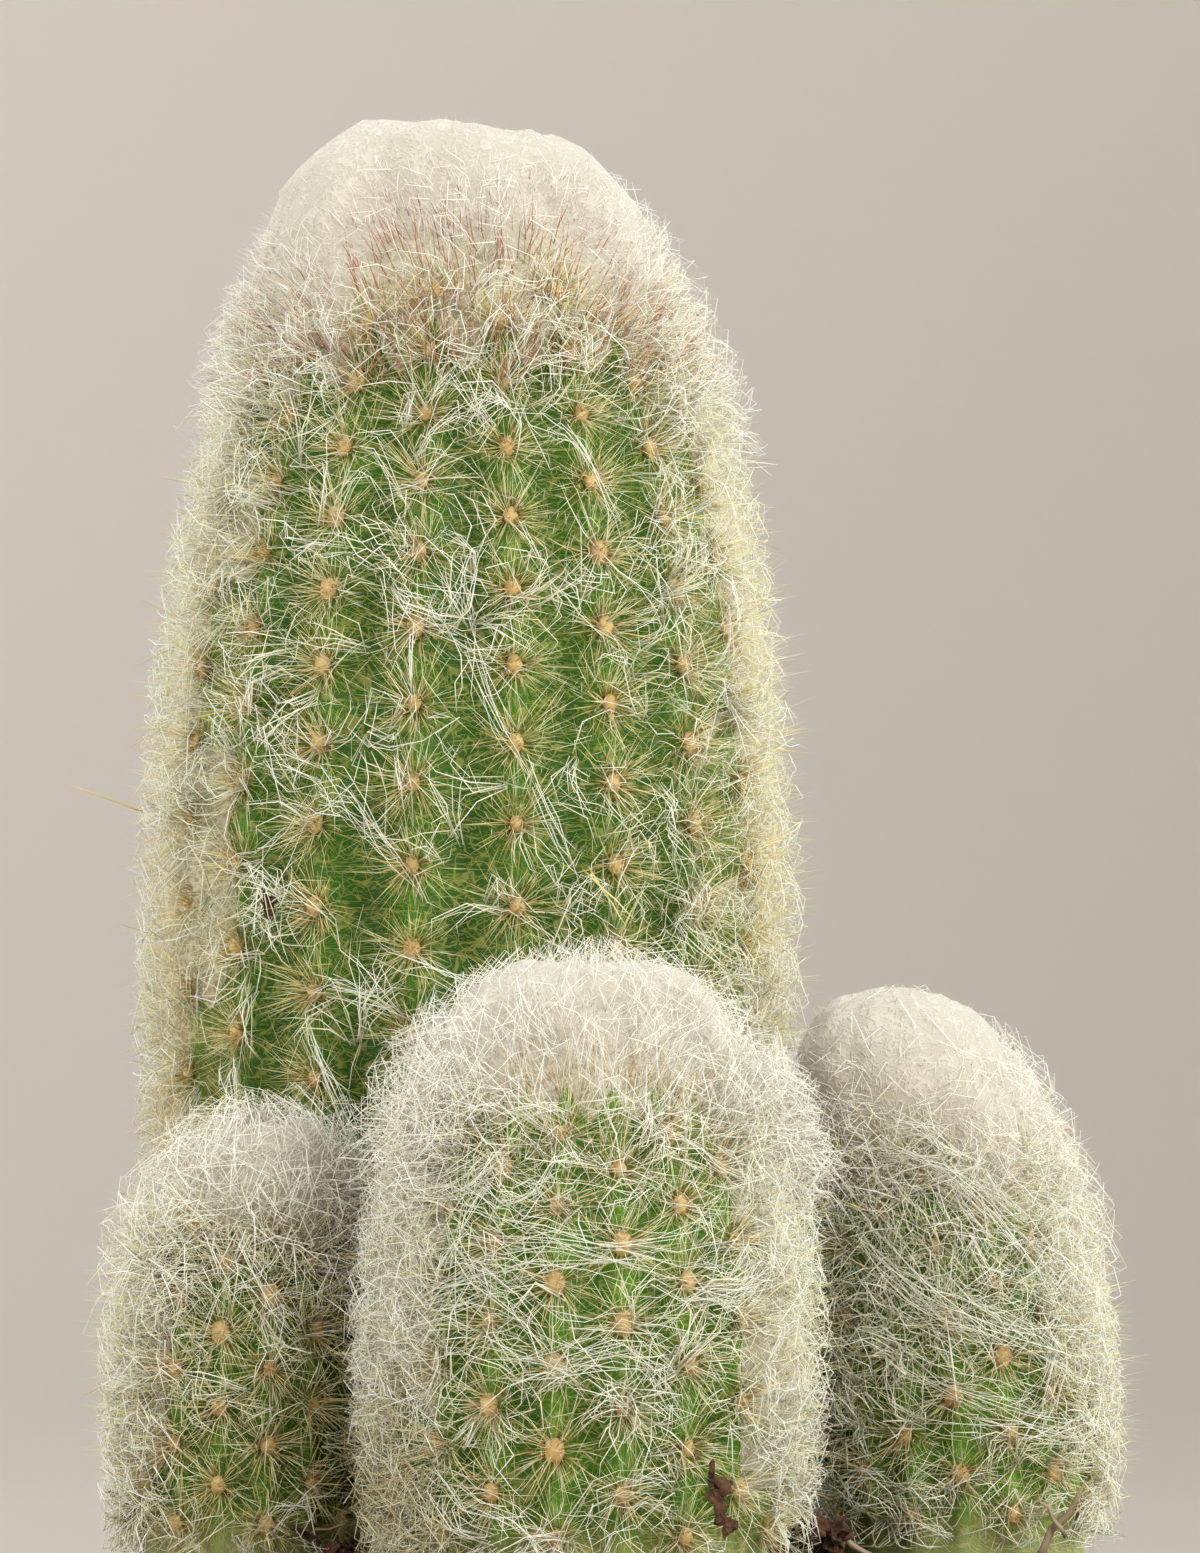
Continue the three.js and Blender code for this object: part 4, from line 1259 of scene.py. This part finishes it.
litter = {
    "bits": [
        # middle in mm from the middle of the pot's foot, size, and turn in degrees as seen from the front
        {"at": (13.3, -9.5, 124.3), "size": (1.0, 0.7, 1.6), "turn": 30},
        {"at": (12.9, -9.0, 122.4), "size": (0.7, 0.5, 1.2), "turn": -25},
        {"at": (7.3, -34.5, 107.0), "size": (0.6, 0.4, 1.4), "turn": -14},
        {"at": (7.8, -34.6, 105.8), "size": (0.9, 0.5, 1.5), "turn": 12},
        {"at": (8.1, -34.8, 104.2), "size": (0.9, 0.4, 1.2), "turn": -30},
        {"at": (13.4, -19.8, 102.3), "size": (2.0, 1.6, 1.4), "turn": 20},
        {"at": (15.4, -18.3, 102.0), "size": (1.7, 1.4, 1.8), "turn": -35},
        {"at": (11.8, -21.5, 101.2), "size": (1.7, 1.2, 1.0), "turn": 12},
        {"at": (-17.6, -18.5, 101.0), "size": (2.1, 1.3, 0.9), "turn": -12},
        {"at": (-15.4, -20.5, 100.6), "size": (1.5, 1.2, 0.7), "turn": 30},
        {"at": (-19.4, -19.0, 102.2), "size": (1.6, 0.4, 0.35), "turn": 24},
        {"at": (-22.6, -2.8, 143.8), "size": (0.7, 0.6, 1.6), "turn": -15},
    ],
    "roughness": 0.8,
    "grain": 2400,          # lumps to the metre
    "dark": "#2a1c14",
    "pale": "#6a4c36",
    "seed": 8,
}

# ends in mm from the middle of the pot's foot, and thickness
twigs = [
    {"from": (29.0, -12.5, 99.5), "to": (32.6, -13.2, 105.4), "thick": 0.7},
    {"from": (31.2, -12.8, 101.5), "to": (29.2, -13.4, 104.4), "thick": 0.4},
    {"from": (18.6, -15.0, 100.2), "to": (14.6, -16.5, 102.8), "thick": 0.5},
    {"from": (-20.5, -17.5, 101.8), "to": (-16.4, -19.0, 102.9), "thick": 0.35},
]

strays = [
    {"from": (-31.6, 13.0, 149.9), "to": (-37.2, 12.0, 152.0), "thick": 0.16},
    {"from": (-1.2, -5.2, 146.2), "to": (2.6, -8.2, 142.6), "thick": 0.17},
    {"from": (-0.8, -5.2, 146.4), "to": (1.9, -8.0, 142.2), "thick": 0.15},
]


def addScraps():
    # dried flower and bark scraps: brittle, dark brown, matt
    material, tree = newMaterial("dried bark")
    stops = [(0.35, litter["dark"]), (0.7, litter["pale"])]
    finishSurface(tree, addNode(tree, "ValToRGB", [objectNoise(tree, 0.8, 4, 0.7)], stops=stops), 0.9, 0.2)
    bm = bmesh.new()
    for bit in litter["bits"]:
        middle = Vector(bit["at"]) * mm
        size = Matrix.Diagonal((*[0.5 * mm * s for s in bit["size"]], 1))
        turned = Matrix.Rotation(math.radians(bit["turn"]), 4, "Y")
        place = Matrix.Translation(middle) @ turned @ size
        for vert in bmesh.ops.create_icosphere(bm, subdivisions=3, radius=1, matrix=place)["verts"]:
            lump = noise.fractal(vert.co * litter["grain"], 1.0, 2.0, 3)
            vert.co += (vert.co - middle) * 2 * litter["roughness"] * lump
    scraps = link("driedScraps", bm, material, smooth=False)
    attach(scraps, "root")


def bentPaths(items, bend):
    rng = np.random.default_rng(litter["seed"])
    t = np.linspace(0, 1, 6)[None, :, None]
    starts, ends = [np.array([item[key] for item in items])[:, None, :] * mm for key in ("from", "to")]
    paths = starts * (1 - t) + ends * t + rng.normal(0, bend * mm, (len(items), 6, 3)) * np.sin(math.pi * t)
    thick = np.array([item["thick"] for item in items])[:, None] * mm / 2
    return paths, thick * (1 - t[0, :, 0] ** 4)[None, :], rng.uniform(0, 0.5, len(items))


addPot()
addSoil()
addScraps()
# a dead flower stalk: dry and straw-brown
stalk = hairMaterial("dry straw stalk", "#6a5846", [(0.0, "#a08c6c"), (1.0, "#5c4a38")])
addStrands("twigs", [bentPaths(twigs, 0.2)], stalk)
# a loose mature spine: glassy yellow
yellowSpine = hairMaterial("long yellow spine", "#c6ac5a", [(0.0, "#e2d594"), (1.0, "#cfb868")])
addStrands("strays", [bentPaths(strays, 0.05)], yellowSpine)

bpy.data.objects.remove(section)
